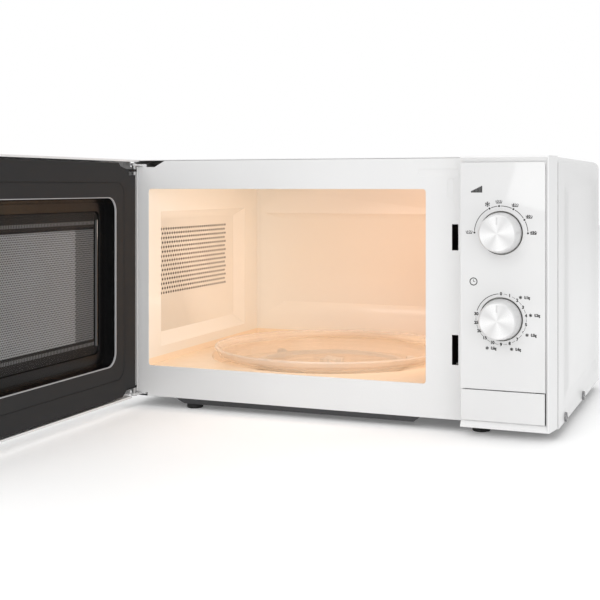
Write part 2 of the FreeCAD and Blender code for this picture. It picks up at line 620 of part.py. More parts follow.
def door_switch(z):
    """Snap-action switch lying on its side, with a well for its plunger and three blades."""
    body = box(118, 145.6, 26.4, 42, z, z + 10)
    blades = [box(121 + 9 * i, 125 + 9 * i, 41.9, 48, z + 4.6, z + 5.4) for i in range(3)]
    well = box(125.9, 129.7, 26, 34, z + 1.9, z + 8.1)
    return cut(fuse([body] + blades), [well])


def switch_plunger(z):
    return box(126.2, 129.4, 21.5, 31.0, z + 2.2, z + 7.8)


# ---------------------------------------------------------------- microwave source
def waveguide():
    """Folded duct from the magnetron to the cavity wall."""
    x0, x1 = BAY_X0 + 0.1, 129.0
    duct = box(x0, x1, 114, 206, 145, 207).cut(box(x0 - 1, x1 - 1, 115, 205, 146, 206))
    return duct.cut(rod((x0, 160, MAGNETRON_Z), (1, 0, 0), 9.0, 40))


def magnetron():
    """Magnetron: antenna, anode with cooling fins, yoke plates and filter box."""
    axis_point = (112, 160, MAGNETRON_Z)
    parts = [rod(axis_point, (1, 0, 0), 7.0, 24)]
    parts.append(rod((129.4, 160, MAGNETRON_Z), (1, 0, 0), 20.0, 66))
    parts += [box(x, x + 2, 128, 192, 146, 212) for x in (129.4, 194)]
    parts += [box(138 + 5.5 * i, 138.9 + 5.5 * i, 133, 187, 151, 205) for i in range(10)]
    parts.append(box(130, 194, 128, 130, 146, 212))
    parts.append(box(194, 216, 140, 180, 152, 204))
    return fuse(parts)


def transformer_core():
    core = box(130, 206, 160, 212, 12.0, 80.0)
    windows = [box(x, x + 13, 159, 213, 25, 67) for x in (142, 181)]
    feet = [box(126, 210, 160, 162, 12.0, 14.0), box(126, 210, 210, 212, 12.0, 14.0)]
    return fuse([cut(core, windows)] + feet)


def transformer_coils():
    x0, x1 = 142.3, 193.7
    ring = box(x0, x1, 148, 224, 25.3, 66.7)
    ring = round_edges(ring, 7.0, (0, 0, 1), lambda p: True)
    ring = ring.cut(box(154.7, 181.3, 159.7, 212.3, 20, 70))
    gap = box(x0 - 1, x1 + 1, 140, 230, 45, 46.5)
    inner = box(153.5, 182.5, 158.5, 213.5, 44, 48).cut(box(154.7, 181.3, 159.7, 212.3, 40, 50))
    return ring.cut(gap).fuse(inner)


def capacitor():
    can = box(112, 200, 238, 272, 13.0, 65.0)
    can = round_edges(can, 16.0, (1, 0, 0), lambda p: True)
    tabs = [box(199.9, 208, 250 + 8 * i, 251 + 8 * i, 34, 42) for i in range(2)]
    return fuse([can] + tabs)


def capacitor_clamp():
    band = box(150, 162, 236.6, 273.4, 11.6, 66.4)
    band = round_edges(band, 17.2, (1, 0, 0), lambda p: True)
    hollow = box(149, 163, 237.9, 272.1, 12.9, 65.1)
    hollow = round_edges(hollow, 16.1, (1, 0, 0), lambda p: True)
    ear = box(150, 162, 273.0, 281, 11.6, 13.0).cut(rod((156, 277, 10), (0, 0, 1), 2.0, 5))
    foot = box(150, 162, 255, 274, 11.6, 12.9)
    return fuse([band.cut(hollow), ear, foot])


def diode():
    body = rod((206, 222, 88), (0, 0, 1), 3.6, 22)
    leads = [rod((206, 222, 82), (0, 0, 1), 0.8, 6.1), rod((206, 222, 109.9), (0, 0, 1), 0.8, 6)]
    return fuse([body] + leads)


# ---------------------------------------------------------------- fan
def fan_bracket():
    """Shroud ring with the arms that hold the motor."""
    x0, x1, z0, z1 = FAN_X - 48, FAN_X + 48, FAN_Z - 48, FAN_Z + 48
    ring = box(x0, x1, 268, 287, z0, z1).cut(rod((FAN_X, 260, FAN_Z), (0, 1, 0), 43.5, 40))
    arms = [box(x0 + 1, x1 - 1, 264, 268.1, z - 4, z + 4) for z in (FAN_Z - 16, FAN_Z + 16)]
    middle = box(FAN_X - 10, FAN_X + 10, 264, 267.9, FAN_Z - 14, FAN_Z + 14)
    shaft_way = rod((FAN_X, 260, FAN_Z), (0, 1, 0), 4.0, 10)
    return fuse([ring] + arms + [middle]).cut(shaft_way)


def fan_motor():
    core = box(FAN_X - 22, FAN_X + 22, 240, 263.8, FAN_Z - 20, FAN_Z + 20)
    coil = box(FAN_X - 14, FAN_X + 14, 234, 263.8, FAN_Z - 34, FAN_Z - 19.9)
    bore = rod((FAN_X, 245, FAN_Z), (0, 1, 0), 2.0 + RUNNING, 30)
    return fuse([core, coil]).cut(bore)


def fan_impeller():
    """Five-bladed impeller moulded on its shaft."""
    hub = rod((FAN_X, 271, FAN_Z), (0, 1, 0), 11.0, 12)
    shaft = rod((FAN_X, 248, FAN_Z), (0, 1, 0), 2.0, 25)
    parts = [hub, shaft]
    for i in range(5):
        blade = box(8, 41, -0.9, 0.9, -7, 7)
        blade.rotate(Vector(0, 0, 0), Vector(1, 0, 0), 52)
        keep = rod((0, -5, 0), (0, 1, 0), 41.5, 10)
        blade = blade.common(keep)
        blade.rotate(Vector(0, 0, 0), Vector(0, 1, 0), 72 * i)
        blade.translate(Vector(FAN_X, 277, FAN_Z))
        parts.append(blade)
    return fuse(parts)


# ---------------------------------------------------------------- turntable
WELL_Z = OPEN_Z0 - 0.3 - RECESS_DEPTH
ROLLER_Z = WELL_Z + 0.2 + ROLLER_R
GLASS_Z = ROLLER_Z + ROLLER_R + 0.2


def turntable_motor():
    z1 = WELL_Z - SHEET - 0.2
    body = rod((TABLE_X, TABLE_Y, z1 - 14.5), (0, 0, 1), 24.5, 14.5)
    ears = box(TABLE_X - 32, TABLE_X + 32, TABLE_Y - 5, TABLE_Y + 5, z1 - 1.2, z1)
    bore = rod((TABLE_X, TABLE_Y, z1 - 9), (0, 0, 1), 3.5 + RUNNING, 12)
    return fuse([body, ears]).cut(bore)


def table_shaft():
    z0 = WELL_Z - SHEET - 8.5
    return rod((TABLE_X, TABLE_Y, z0), (0, 0, 1), 3.5, 15.5)


def coupler():
    """Three-armed driver between the motor shaft and the glass plate."""
    z0 = WELL_Z + 0.6
    hub = rod((TABLE_X, TABLE_Y, z0), (0, 0, 1), 8.0, GLASS_Z - z0 - 0.1)
    parts = [hub]
    for i in range(3):
        arm = box(0, 14, -3, 3, z0 + 3, GLASS_Z - 0.1)
        arm.rotate(Vector(0, 0, 0), Vector(0, 0, 1), 120 * i)
        arm.translate(Vector(TABLE_X, TABLE_Y, 0))
        parts.append(arm)
    socket = rod((TABLE_X, TABLE_Y, z0 - 1), (0, 0, 1), 3.5, 6.9)
    return fuse(parts).cut(socket)


def glass_plate():
    """Glass turntable plate: flat floor, raised rim and three driving lugs below."""
    t = PLATE_GLASS
    z = GLASS_Z
    outline = [
        (0, z), (114, z), (127, z + 4.2), (PLATE_R, PLATE_RIM_Z - 1.5), (PLATE_R - 0.8, PLATE_RIM_Z),
        (PLATE_R - 3.2, PLATE_RIM_Z - 0.3), (124.5, z + 7.0), (112.5, z + t - 0.6), (0, z + t - 0.6),
    ]
    parts = [revolve(outline, (TABLE_X, TABLE_Y, 0), (0, 0, 1))]
    for i in range(3):
        lug = rod((17.5, 0, z - 3.2), (0, 0, 1), 3.0, 3.4)
        lug.rotate(Vector(0, 0, 0), Vector(0, 0, 1), 120 * i + 60)
        lug.translate(Vector(TABLE_X, TABLE_Y, 0))
        parts.append(lug)
    return fuse(parts)


def roller_ring():
    """Flat ring with three stub axles."""
    z = ROLLER_Z
    parts = [tube((TABLE_X, TABLE_Y, z - 2), (0, 0, 1), 84, 77, 4)]
    for i in range(3):
        a = math.radians(120 * i + 30)
        start = (TABLE_X + 82 * math.cos(a), TABLE_Y + 82 * math.sin(a), z)
        parts.append(rod(start, (math.cos(a), math.sin(a), 0), 1.6, 16))
    return fuse(parts)


def roller(i):
    a = math.radians(120 * i + 30)
    start_r = ROLLER_TRACK_R - 4
    start = (TABLE_X + start_r * math.cos(a), TABLE_Y + start_r * math.sin(a), ROLLER_Z)
    return tube(start, (math.cos(a), math.sin(a), 0), ROLLER_R, 1.6 + RUNNING, 8)


# ---------------------------------------------------------------- small parts
def lamp():
    bulb = rod((106, 240, 206), (1, 0, 0), 7.0, 13)
    return fuse([bulb, Part.makeSphere(7.0, Vector(106, 240, 206)), rod((118, 240, 206), (1, 0, 0), 5.0, 6)])


def lamp_holder():
    body = box(119.2, 136, 230, 250, 196, 216).cut(rod((119, 240, 206), (1, 0, 0), 5.1, 7))
    return body.fuse(box(119.2, 121, 222, 230.1, 200, 212))


def thermal_cutouts():
    cups = []
    for y, z in ((60.0, 215.0), (232.0, 120.0)):
        cup = rod((BAY_X0, y, z), (1, 0, 0), 8.5, 9)
        cups.append(fuse([cup, box(BAY_X0, BAY_X0 + 1, y - 14, y + 14, z - 4, z + 4)]))
    return Part.makeCompound(cups)


def filter_board():
    """Mains filter board with choke, capacitor and fuse."""
    board = box(120, 205, 214, 262, 230.0, 231.6)
    choke = tube((140, 238, 231.5), (0, 0, 1), 12, 5, 10)
    block = box(160, 182, 226, 240, 231.5, 245)
    fuse_tube = rod((164, 252, 236), (1, 0, 0), 3.2, 24)
    clips = [box(x, x + 3, 249, 255, 231.5, 236) for x in (166, 183)]
    posts = [rod((x, 258, 224.1), (0, 0, 1), 3, 6) for x in (125, 200)]
    return fuse([board, choke, block, fuse_tube] + clips + posts)


FEET = ((-156.5, 12.0, 5.0), (151.0, 12.0, 10.5), (-152.0, 262.0, 10.5), (152.0, 262.0, 10.5))
FOOT_R = 8.5


def feet():
    """Four rubber feet; the first stands under the dropped part of the base."""
    solids = []
    for x, y, top in FEET:
        foot = rod((x, y, 0), (0, 0, 1), FOOT_R, top - 0.02)
        low = [e for e in foot.Edges if e.BoundBox.ZMax < 0.01]
        solids.append(foot.makeFillet(1.0, low))
    return Part.makeCompound(solids)


SIDE_SCREWS = ((38.0, 14.0), (157.0, 14.0))
REAR_SCREWS = ((-216.0, 28.0), (-216.0, 240.0), (-60.0, 254.0), (110.0, 254.0), (216.0, 240.0), (216.0, 28.0))


def cabinet_screws():
    half = CABINET_W / 2
    rear_y = CABINET_D - 1.0 + SHEET
    solids = [screw((s * half, y, z), (s, 0, 0)) for y, z in SIDE_SCREWS for s in (1, -1)]
    solids += [screw((x, rear_y, z), (0, 1, 0), 3.8, 2.2, 5.0) for x, z in REAR_SCREWS]
    return Part.makeCompound(solids)


def screw_holes(shape):
    half = CABINET_W / 2
    tools = [rod((s * (half - 9), y, z), (s, 0, 0), 1.75, 12) for y, z in SIDE_SCREWS for s in (1, -1)]
    tools += [rod((x, CABINET_D - 9, z), (0, 1, 0), 1.75, 12) for x, z in REAR_SCREWS]
    return cut(shape, tools)


def cord_gland():
    """Bush that lines the mains inlet in the rear cover."""
    y = CABINET_D - 1.0
    barrel = rod((196, y - 4, 40), (0, 1, 0), 8.5, 8)
    flange = rod((196, y + SHEET + 0.05, 40), (0, 1, 0), 11.0, 3.0)
    return fuse([barrel, flange]).cut(rod((196, y - 6, 40), (0, 1, 0), 3.7, 14))


# ---------------------------------------------------------------- build
CABINET_NODES = {
    "outer_wrap": lambda: screw_holes(outer_wrap()),
    "base_plate": lambda: screw_holes(base_plate()),
    "back_panel": lambda: screw_holes(back_panel()),
    "face_frame": face_frame,
    "cavity_shell": cavity_shell,
    "mica_cover": mica_cover,
    "hinge_plate_top": lambda: hinge_plate(HINGE_TOP_Z, 1),
    "hinge_plate_bottom": lambda: hinge_plate(HINGE_BOTTOM_Z, -1),
    "hinge_pin_top": lambda: hinge_pin(HINGE_TOP_Z, 1),
    "hinge_pin_bottom": lambda: hinge_pin(HINGE_BOTTOM_Z, -1),
    "control_housing": control_housing,
    "control_plate": control_plate,
    "door_button": door_button,
    "button_spring": lambda: spring((160, -23.6, 32), (0, 1, 0), 3.6, 0.45, 2.6, 13.2),
    "release_lever": release_lever,
    "power_knob": lambda: knob(POWER_Z),
    "timer_knob": lambda: knob(TIMER_Z),
    "power_shaft": lambda: knob_shaft(POWER_Z),
    "timer_shaft": lambda: knob_shaft(TIMER_Z),
    "timer_unit": timer_unit,
    "timer_bell": timer_bell,
    "latch_bracket": latch_bracket,
    "waveguide": waveguide,
    "magnetron": magnetron,
    "transformer_core": transformer_core,
    "transformer_coils": transformer_coils,
    "capacitor": capacitor,
    "capacitor_clamp": capacitor_clamp,
    "high_voltage_diode": diode,
    "fan_bracket": fan_bracket,
    "fan_motor": fan_motor,
    "fan_impeller": fan_impeller,
    "turntable_motor": turntable_motor,
    "table_shaft": table_shaft,
    "coupler": coupler,
    "glass_plate": glass_plate,
    "roller_ring": roller_ring,
    "lamp": lamp,
    "lamp_holder": lamp_holder,
    "thermal_cutouts": thermal_cutouts,
    "filter_board": filter_board,
    "feet": feet,
    "cabinet_screws": cabinet_screws,
    "cord_gland": cord_gland,
}
DOOR_NODES = {
    "door_frame": door_frame,
    "door_window": door_window,
    "door_panel": door_panel,
    "choke_cover": choke_cover,
    "window_film": window_film,
    "latch_hooks": latch_hooks,
    "latch_spring": lambda: spring((127.8, -10.8, 200.6), (0, 0, 1), 2.6, 0.4, 2.6, 13.2),
}

for name, make in CABINET_NODES.items():
    save(name, make())
for name, make in DOOR_NODES.items():
    save(name, make(), door=True)
for number in range(3):
    save("roller_%d" % (number + 1), roller(number))
    save("door_switch_%d" % (number + 1), door_switch(SWITCH_Z[number]))
    save("switch_plunger_%d" % (number + 1), switch_plunger(SWITCH_Z[number]))

print("origin", [round(v, 4) for v in ORIGIN])
for name, shape in NODES.items():
    state = "ok" if shape.isValid() else "INVALID"
    print("%-20s %s solids %d volume %.0f" % (name, state, len(shape.Solids), shape.Volume))
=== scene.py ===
# %% [markdown]
# # A compact microwave oven, finished in Blender
# The oven's design comes packed from CAD: every node already has its true size and place.
# Here each visible part gets its finish, its softened edges and its printed or punched detail.
# We start by loading that frame.

import json
import math

import bmesh
import bpy
from mathutils import Matrix, Vector


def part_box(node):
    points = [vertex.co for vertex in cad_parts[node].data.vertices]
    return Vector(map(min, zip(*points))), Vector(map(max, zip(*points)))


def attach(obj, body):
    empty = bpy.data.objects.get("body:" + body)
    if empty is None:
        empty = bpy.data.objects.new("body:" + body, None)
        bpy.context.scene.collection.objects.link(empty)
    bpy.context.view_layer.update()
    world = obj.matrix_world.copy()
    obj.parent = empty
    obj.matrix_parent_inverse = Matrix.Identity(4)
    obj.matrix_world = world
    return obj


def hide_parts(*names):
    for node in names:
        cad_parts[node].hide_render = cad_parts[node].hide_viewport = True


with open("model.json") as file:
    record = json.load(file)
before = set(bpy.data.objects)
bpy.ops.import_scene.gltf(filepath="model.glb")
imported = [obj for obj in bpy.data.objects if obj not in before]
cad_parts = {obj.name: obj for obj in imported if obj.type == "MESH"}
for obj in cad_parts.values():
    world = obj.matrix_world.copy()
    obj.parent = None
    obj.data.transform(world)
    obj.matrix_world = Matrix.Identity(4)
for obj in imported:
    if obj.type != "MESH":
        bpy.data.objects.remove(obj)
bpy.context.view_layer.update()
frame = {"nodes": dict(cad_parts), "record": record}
MM = 0.001
BODY_OF = {node: body for body, nodes in frame["record"]["behaviour"]["bodies"].items() for node in nodes}


def opened(x, y, z):
    """Where a point of the closed door lies once the door stands open."""
    return (y - 207.3 * MM, -193.2 * MM - x, z)

# %% [markdown]
# ## A small language for finishes
# Every finish below is worked out by nodes. Wiring them by hand hides the thought behind them,
# so one class wraps a socket and lets us write the maths as ordinary expressions.

# %% A socket that understands arithmetic
class Value:
    def __init__(self, net, socket):
        self.net = net
        self.socket = socket

    def _math(self, operation, a, b=None):
        return self.net.calculate(operation, a, b)

    def __add__(self, other):
        return self._math("ADD", self, other)

    __radd__ = __add__

    def __sub__(self, other):
        return self._math("SUBTRACT", self, other)

    def __rsub__(self, other):
        return self._math("SUBTRACT", other, self)

    def __mul__(self, other):
        return self._math("MULTIPLY", self, other)

    __rmul__ = __mul__

    def __truediv__(self, other):
        return self._math("DIVIDE", self, other)

    def __gt__(self, other):
        return self._math("GREATER_THAN", self, other)

    def __lt__(self, other):
        return self._math("LESS_THAN", self, other)

    def abs(self):
        return self._math("ABSOLUTE", self)

    def clamped(self):
        result = self._math("MULTIPLY", self, 1.0)
        result.socket.node.use_clamp = True
        return result

    def power(self, other):
        return self._math("POWER", self, other)

    def maximum(self, other):
        return self._math("MAXIMUM", self, other)

    def minimum(self, other):
        return self._math("MINIMUM", self, other)


class Finish:
    """One material under construction."""

    def __init__(self, name):
        self.material = bpy.data.materials.new(name)
        self.material.use_nodes = True
        self.tree = self.material.node_tree
        self.tree.nodes.clear()
        self.output = self.tree.nodes.new("ShaderNodeOutputMaterial")

    def add(self, kind, settings=None, inputs=None, out=0):
        node = self.tree.nodes.new(kind)
        for key, value in (settings or {}).items():
            setattr(node, key, value)
        for key, value in (inputs or {}).items():
            self.connect(node.inputs[key], value)
        return Value(self, node.outputs[out])

    def calculate(self, operation, a, b=None):
        inputs = {0: a} if b is None else {0: a, 1: b}
        return self.add("ShaderNodeMath", {"operation": operation}, inputs)

    def connect(self, socket, value):
        if isinstance(value, Value):
            self.tree.links.new(value.socket, socket)
        else:
            socket.default_value = value

    def where(self):
        """Place on the object, in metres."""
        return self.add("ShaderNodeTexCoord", out=3)

    def axes(self):
        parts = self.add("ShaderNodeSeparateXYZ", {}, {0: self.where()}).socket.node
        return [Value(self, parts.outputs[i]) for i in range(3)]

    def stretched(self, scale):
        return self.add("ShaderNodeMapping", {}, {"Vector": self.where(), "Scale": scale})

    def noise(self, scale, detail=3.0, rough=0.5, at=None):
        inputs = {"Vector": at or self.where(), "Scale": scale, "Detail": detail, "Roughness": rough}
        return self.add("ShaderNodeTexNoise", {}, inputs)

    def crystals(self, scale):
        """One random tone, 0 to 1, for each cell."""
        cells = self.add("ShaderNodeTexVoronoi", {}, {"Vector": self.where(), "Scale": scale}, out=1)
        return self.add("ShaderNodeSeparateColor", {}, {0: cells})

    def mix(self, factor, a, b):
        return self.add("ShaderNodeMix", {"data_type": "RGBA"}, {0: factor, 6: a, 7: b}, out=2)

    def bump(self, height, strength, depth):
        inputs = {"Height": height, "Strength": strength, "Distance": depth}
        return self.add("ShaderNodeBump", {}, inputs)

    def shader(self, **inputs):
        named = {key.replace("_", " "): value for key, value in inputs.items()}
        return self.add("ShaderNodeBsdfPrincipled", {}, named)

    def finish(self, shader):
        self.connect(self.output.inputs[0], shader)
        return self.material


def colour(r, g, b):
    """An everyday screen colour, 0 to 255, as the light values Blender works in."""
    def linear(v):
        v = v / 255
        return v / 12.92 if v <= 0.04045 else ((v + 0.055) / 1.055) ** 2.4

    return (linear(r), linear(g), linear(b), 1.0)


MADE = {}


# %% [markdown]
# ## Painted and moulded finishes
# The wrap is steel with baked white enamel. Sprayed enamel is never optically flat: it has a
# faint orange peel, slightly uneven gloss, and a little dust of grey where it is handled.
# Moulded plastic is duller than enamel, with a finer, rounder grain. The door's inner cover
# is black plastic with a satin spark-eroded texture.

# %% White enamel and plastics
def painted(name, base, shade, rough, peel, peel_size, gloss=0.4, shine=0.5, polish=0.08):
    """Sprayed or moulded surface: base colour drifting to a shade, with an uneven skin."""
    f = Finish(name)
    drift = f.noise(9.0, 2.0)
    speck = f.noise(peel_size * 0.6, 2.0, 0.6)
    tone = f.mix((drift * 1.6 - 0.3).clamped(), base, shade)
    roughness = (rough + speck * 0.10 - 0.05 + drift * 0.05).clamped()
    normal = f.bump(f.noise(peel_size, 2.0, 0.4), peel, 0.0006)
    shader = f.shader(
        Base_Color=tone, Roughness=roughness, Normal=normal,
        Coat_Weight=gloss, Coat_Roughness=polish, Specular_IOR_Level=shine,
    )
    MADE[name] = f.finish(shader)
    return MADE[name]


painted("white_enamel", colour(233, 233, 233), colour(228, 228, 228), 0.34, 0.10, 420, 0.3)
painted("white_plastic", colour(234, 234, 234), colour(230, 230, 230), 0.36, 0.06, 900, 0.25)
painted("gloss_white", colour(224, 224, 224), colour(221, 221, 221), 0.2, 0.004, 300, 0.9, polish=0.03)
painted("black_plastic", colour(40, 40, 41), colour(32, 32, 33), 0.55, 0.16, 2600, 0.0, shine=0.35)
painted("base_coating", colour(60, 60, 62), colour(44, 44, 46), 0.5, 0.2, 1500, 0.2)
painted("screen_steel", colour(24, 24, 25), colour(18, 18, 19), 0.6, 0.05, 1200, 0.0, shine=0.25)
painted("mesh_paint", colour(168, 169, 170), colour(156, 157, 158), 0.45, 0.1, 1200, 0.1)
painted("mesh_shade", colour(120, 121, 122), colour(108, 109, 110), 0.5, 0.1, 1200, 0.0)
painted("bead_gloss", colour(14, 14, 15), colour(10, 10, 11), 0.16, 0.02, 900, 0.9, polish=0.05)
painted("inner_plastic", colour(222, 221, 215), colour(206, 205, 198), 0.5, 0.1, 1400, 0.1)
painted("fan_plastic", colour(66, 66, 68), colour(54, 54, 56), 0.5, 0.1, 1400, 0.1)
painted("switch_body", colour(40, 40, 42), colour(30, 30, 32), 0.5, 0.1, 1600, 0.1)
painted("switch_pin", colour(190, 60, 50), colour(170, 48, 42), 0.5, 0.1, 1600, 0.1)
painted("gland_plastic", colour(28, 28, 28), colour(20, 20, 20), 0.55, 0.15, 1600, 0.1)
painted("diode_plastic", colour(32, 32, 34), colour(24, 24, 26), 0.45, 0.1, 1600, 0.1)
painted("roller_plastic", colour(212, 210, 203), colour(198, 195, 186), 0.4, 0.1, 1400, 0.2)
painted("foot_rubber", colour(34, 34, 34), colour(24, 24, 24), 0.75, 0.3, 1800, 0.0)


WELL_Y, WELL_Z = opened(-53.5 * MM, 0, 0)[1], 136.35 * MM
WELL_HALF_Y, WELL_HALF_Z, WELL_ROUND = 120.5 * MM, 86.15 * MM, 14.0 * MM


def cover_plastic():
    """Black moulding: matt on its face, polished and near-black in the sunken well round the screen, the
    near-black being painted shade; a painted highlight line runs round the well's edge.
    """
    f = Finish("cover_plastic")
    x, y, z = f.axes()
    deep_well_shade_and_polish = x < -208.6 * MM
    grain = f.noise(2400, 2.0, 0.6)
    over_y = (y - WELL_Y).abs() - WELL_HALF_Y + WELL_ROUND
    over_z = (z - WELL_Z).abs() - WELL_HALF_Z + WELL_ROUND
    out_y, out_z = over_y.maximum(0.0), over_z.maximum(0.0)
    away = f.calculate("SQRT", out_y * out_y + out_z * out_z)
    edge = away + over_y.maximum(over_z).minimum(0.0) - WELL_ROUND
    painted_highlight_lip = (edge.abs() < 0.6 * MM) * (x > -209.4 * MM)
    # painted shade: the sunken well is coloured near-black for the shade inside it; it is also given
    # lower roughness as polish
    tone = f.mix(deep_well_shade_and_polish, colour(42, 42, 43), colour(6, 6, 7))
    tone = f.mix(f.noise(30, 3.0) * 0.2, tone, colour(30, 30, 30))
    # painted highlight: a thin light-grey line along the well's edge stands for the bright glint there
    tone = f.mix(painted_highlight_lip, tone, colour(176, 176, 178))
    roughness = 0.62 - deep_well_shade_and_polish * 0.42 + grain * 0.08
    normal = f.bump(grain * (1.0 - deep_well_shade_and_polish), 0.12, 0.0003)
    MADE["cover_plastic"] = f.finish(f.shader(
        Base_Color=tone, Roughness=roughness, Normal=normal, Specular_IOR_Level=0.2))


cover_plastic()
print(len(MADE), "painted and moulded finishes")

# %% [markdown]
# ## The warm cavity enamel
# The cavity is enamelled in a warm cream. Towards the far right the tone drifts to a darker
# peach, which is painted shade, since less light falls there; so the tone drifts along the width.
# The coat is glossier than the outside, because cooks wipe it often. The back and left walls carry
# shallow pressed panels, and the gloss lets their sloping borders throw tall soft highlights.

# %% Cavity enamel
def cavity_enamel():
    f = Finish("cream_enamel")
    x, y, z = f.axes()
    # painted shade: the colour turns darker peach towards the right side of the cavity, where less light
    # falls
    across = ((x + 0.19) * 3.1 + f.noise(5.0, 2.0) * 0.2 - 0.1).clamped()
    tone = f.mix(across, colour(251, 243, 231), colour(230, 206, 188))
    haze = f.noise(12, 2.0, 0.5)
    tone = f.mix(haze * 0.04, tone, colour(232, 206, 176))
    tone = f.mix(z < 0.05, tone, colour(255, 232, 204))
    roughness = 0.2 + f.noise(60, 3.0) * 0.08
    normal = f.bump(f.noise(350, 2.0), 0.06, 0.0006)
    shader = f.shader(
        Base_Color=tone, Roughness=roughness, Normal=normal, Coat_Weight=0.5, Coat_Roughness=0.08,
    )
    MADE["cream_enamel"] = f.finish(shader)


cavity_enamel()
print("cavity enamel is ready")

# %% [markdown]
# ## Metals
# Galvanised sheet freezes into spangles, so its roughness and tone change from crystal to
# crystal. Drawn pins and springs carry fine lines along their length. Cast and laminated
# iron is dark and coarse, and copper windings show their enamelled wires as fine ribs.

# %% Metals
def sheet_metal(name, base, shade, rough, spangle):
    f = Finish(name)
    grain = f.crystals(spangle)
    tone = f.mix(grain, base, shade)
    roughness = (rough + grain * 0.18 + f.noise(30, 3.0) * 0.1 - 0.05).clamped()
    normal = f.bump(f.noise(700, 2.0), 0.08, 0.0004)
    MADE[name] = f.finish(f.shader(Base_Color=tone, Metallic=1.0, Roughness=roughness, Normal=normal))


def drawn_metal(name, base, rough, along):
    f = Finish(name)
    lines = f.noise(1.0, 4.0, 0.7, at=f.stretched(along))
    dirt = f.noise(120, 3.0)
    tone = f.mix(dirt * 0.35, base, colour(96, 92, 88))
    roughness = (rough + lines * 0.2 - 0.1).clamped()
    normal = f.bump(lines, 0.15, 0.0003)
    MADE[name] = f.finish(f.shader(Base_Color=tone, Metallic=1.0, Roughness=roughness, Normal=normal))


def windings():
    f = Finish("winding")
    wires = {"Vector": f.where(), "Scale": 900.0}
    rib = f.add("ShaderNodeTexWave", {"bands_direction": "Z"}, wires, out=1)
    tone = f.mix(rib, colour(120, 62, 30), colour(196, 112, 60))
    MADE["winding"] = f.finish(f.shader(Base_Color=tone, Metallic=0.7, Roughness=0.35 + rib * 0.15,
                                        Normal=f.bump(rib, 0.5, 0.0005)))


sheet_metal("galvanised_sheet", colour(192, 194, 196), colour(180, 183, 186), 0.34, 170)
sheet_metal("duct_aluminium", colour(210, 211, 213), colour(190, 192, 194), 0.3, 140)
sheet_metal("laminated_iron", colour(92, 90, 88), colour(66, 64, 62), 0.5, 260)
drawn_metal("pin_steel", colour(190, 190, 190), 0.3, (1500, 1500, 60))
drawn_metal("chrome_screw", colour(150, 150, 152), 0.16, (900, 60, 900))
drawn_metal("spring_steel", colour(186, 186, 188), 0.28, (900, 900, 900))
drawn_metal("bell_steel", colour(226, 226, 228), 0.14, (700, 700, 700))
windings()
print(len(MADE), "finishes so far")

# %% [markdown]
# ## Silvered dials
# Both knobs have a face turned on a lathe and silvered. The cutter leaves rings, and the
# rings throw light in bright and dull fans. We paint the fans into the colour as a painted highlight,
# from the angle about the knob's own axis, and rebuild the rings from the distance to it, so both
# turn with the knob. The knob behind the plate's front is painted dark, a painted shade for the gap round
# it.

# %% Spun knob finish
def dial_centre(node):
    low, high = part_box(node)
    return ((low.x + high.x) / 2, (low.z + high.z) / 2)


POWER_CENTRE = dial_centre("power_knob")
TIMER_CENTRE = dial_centre("timer_knob")
FACE_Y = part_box("power_knob")[0].y
PLATE_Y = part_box("control_plate")[0].y


def spun(name, centre):
    f = Finish(name)
    x, y, z = f.axes()
    dx, dz = x - centre[0], z - centre[1]
    angle = f.calculate("ARCTAN2", dz, dx)
    radius = f.calculate("SQRT", dx * dx + dz * dz)
    painted_sheen_fans = f.calculate("SINE", angle * 4.0 + 0.6) * 0.5 + 0.5
    rings = f.calculate("SINE", radius * 16000.0) * 0.5 + 0.5
    face = (y < FACE_Y + 0.0006) * (radius < 0.0158)
    # painted highlight: bright and dull fans on the face, set by the angle about the knob's axis
    tone = f.mix(painted_sheen_fans * face, colour(216, 216, 216), colour(240, 240, 240))
    wear = (f.noise(260, 4.0, 0.6) * 2.0 - 1.1).clamped()
    tone = f.mix(wear * 0.1, tone, colour(200, 200, 200))
    # painted shade: the part of the knob behind the plate's front is coloured dark, standing for the
    # shade in the gap round it
    tone = f.mix(y > PLATE_Y + 0.0002, tone, colour(30, 30, 30))
    roughness = 0.3 + rings * 0.08 - painted_sheen_fans * face * 0.08
    normal = f.bump(rings * face, 0.05, 0.0001)
    MADE[name] = f.finish(f.shader(Base_Color=tone, Metallic=0.12, Roughness=roughness, Normal=normal,
                                   Coat_Weight=0.3, Coat_Roughness=0.1))


spun("spun_power", POWER_CENTRE)
spun("spun_timer", TIMER_CENTRE)
print("knob faces follow", POWER_CENTRE, TIMER_CENTRE)

# %% [markdown]
# ## Glass, film and small sheets
# The turntable plate is pressed soda glass with a faint pink cast and a slightly wavy skin.
# The film over the screen is thin and clear. The front plate of the door is white at its
# border and tinted glass in the middle, so one mask on the plate's own place mixes the two.

# %% See-through finishes
def clear_film():
    """Thin sheet: see-through face on, and fuller in colour where it is seen along its skin."""
    f = Finish("clear_film")
    edge = f.add("ShaderNodeLayerWeight", {}, {0: 0.35}, out=1)
    smear = (f.noise(24, 4.0, 0.6) * 1.8 - 0.9).clamped()
    MADE["clear_film"] = f.finish(f.shader(
        Base_Color=colour(20, 20, 20), Roughness=0.1 + smear * 0.06, IOR=1.5,
        Alpha=(0.02 + edge.power(2.0) * 0.1 + smear * 0.04).clamped(),
        Normal=f.bump(f.noise(60, 2.0), 0.03, 0.0004), Coat_Weight=0.5, Coat_Roughness=0.03))


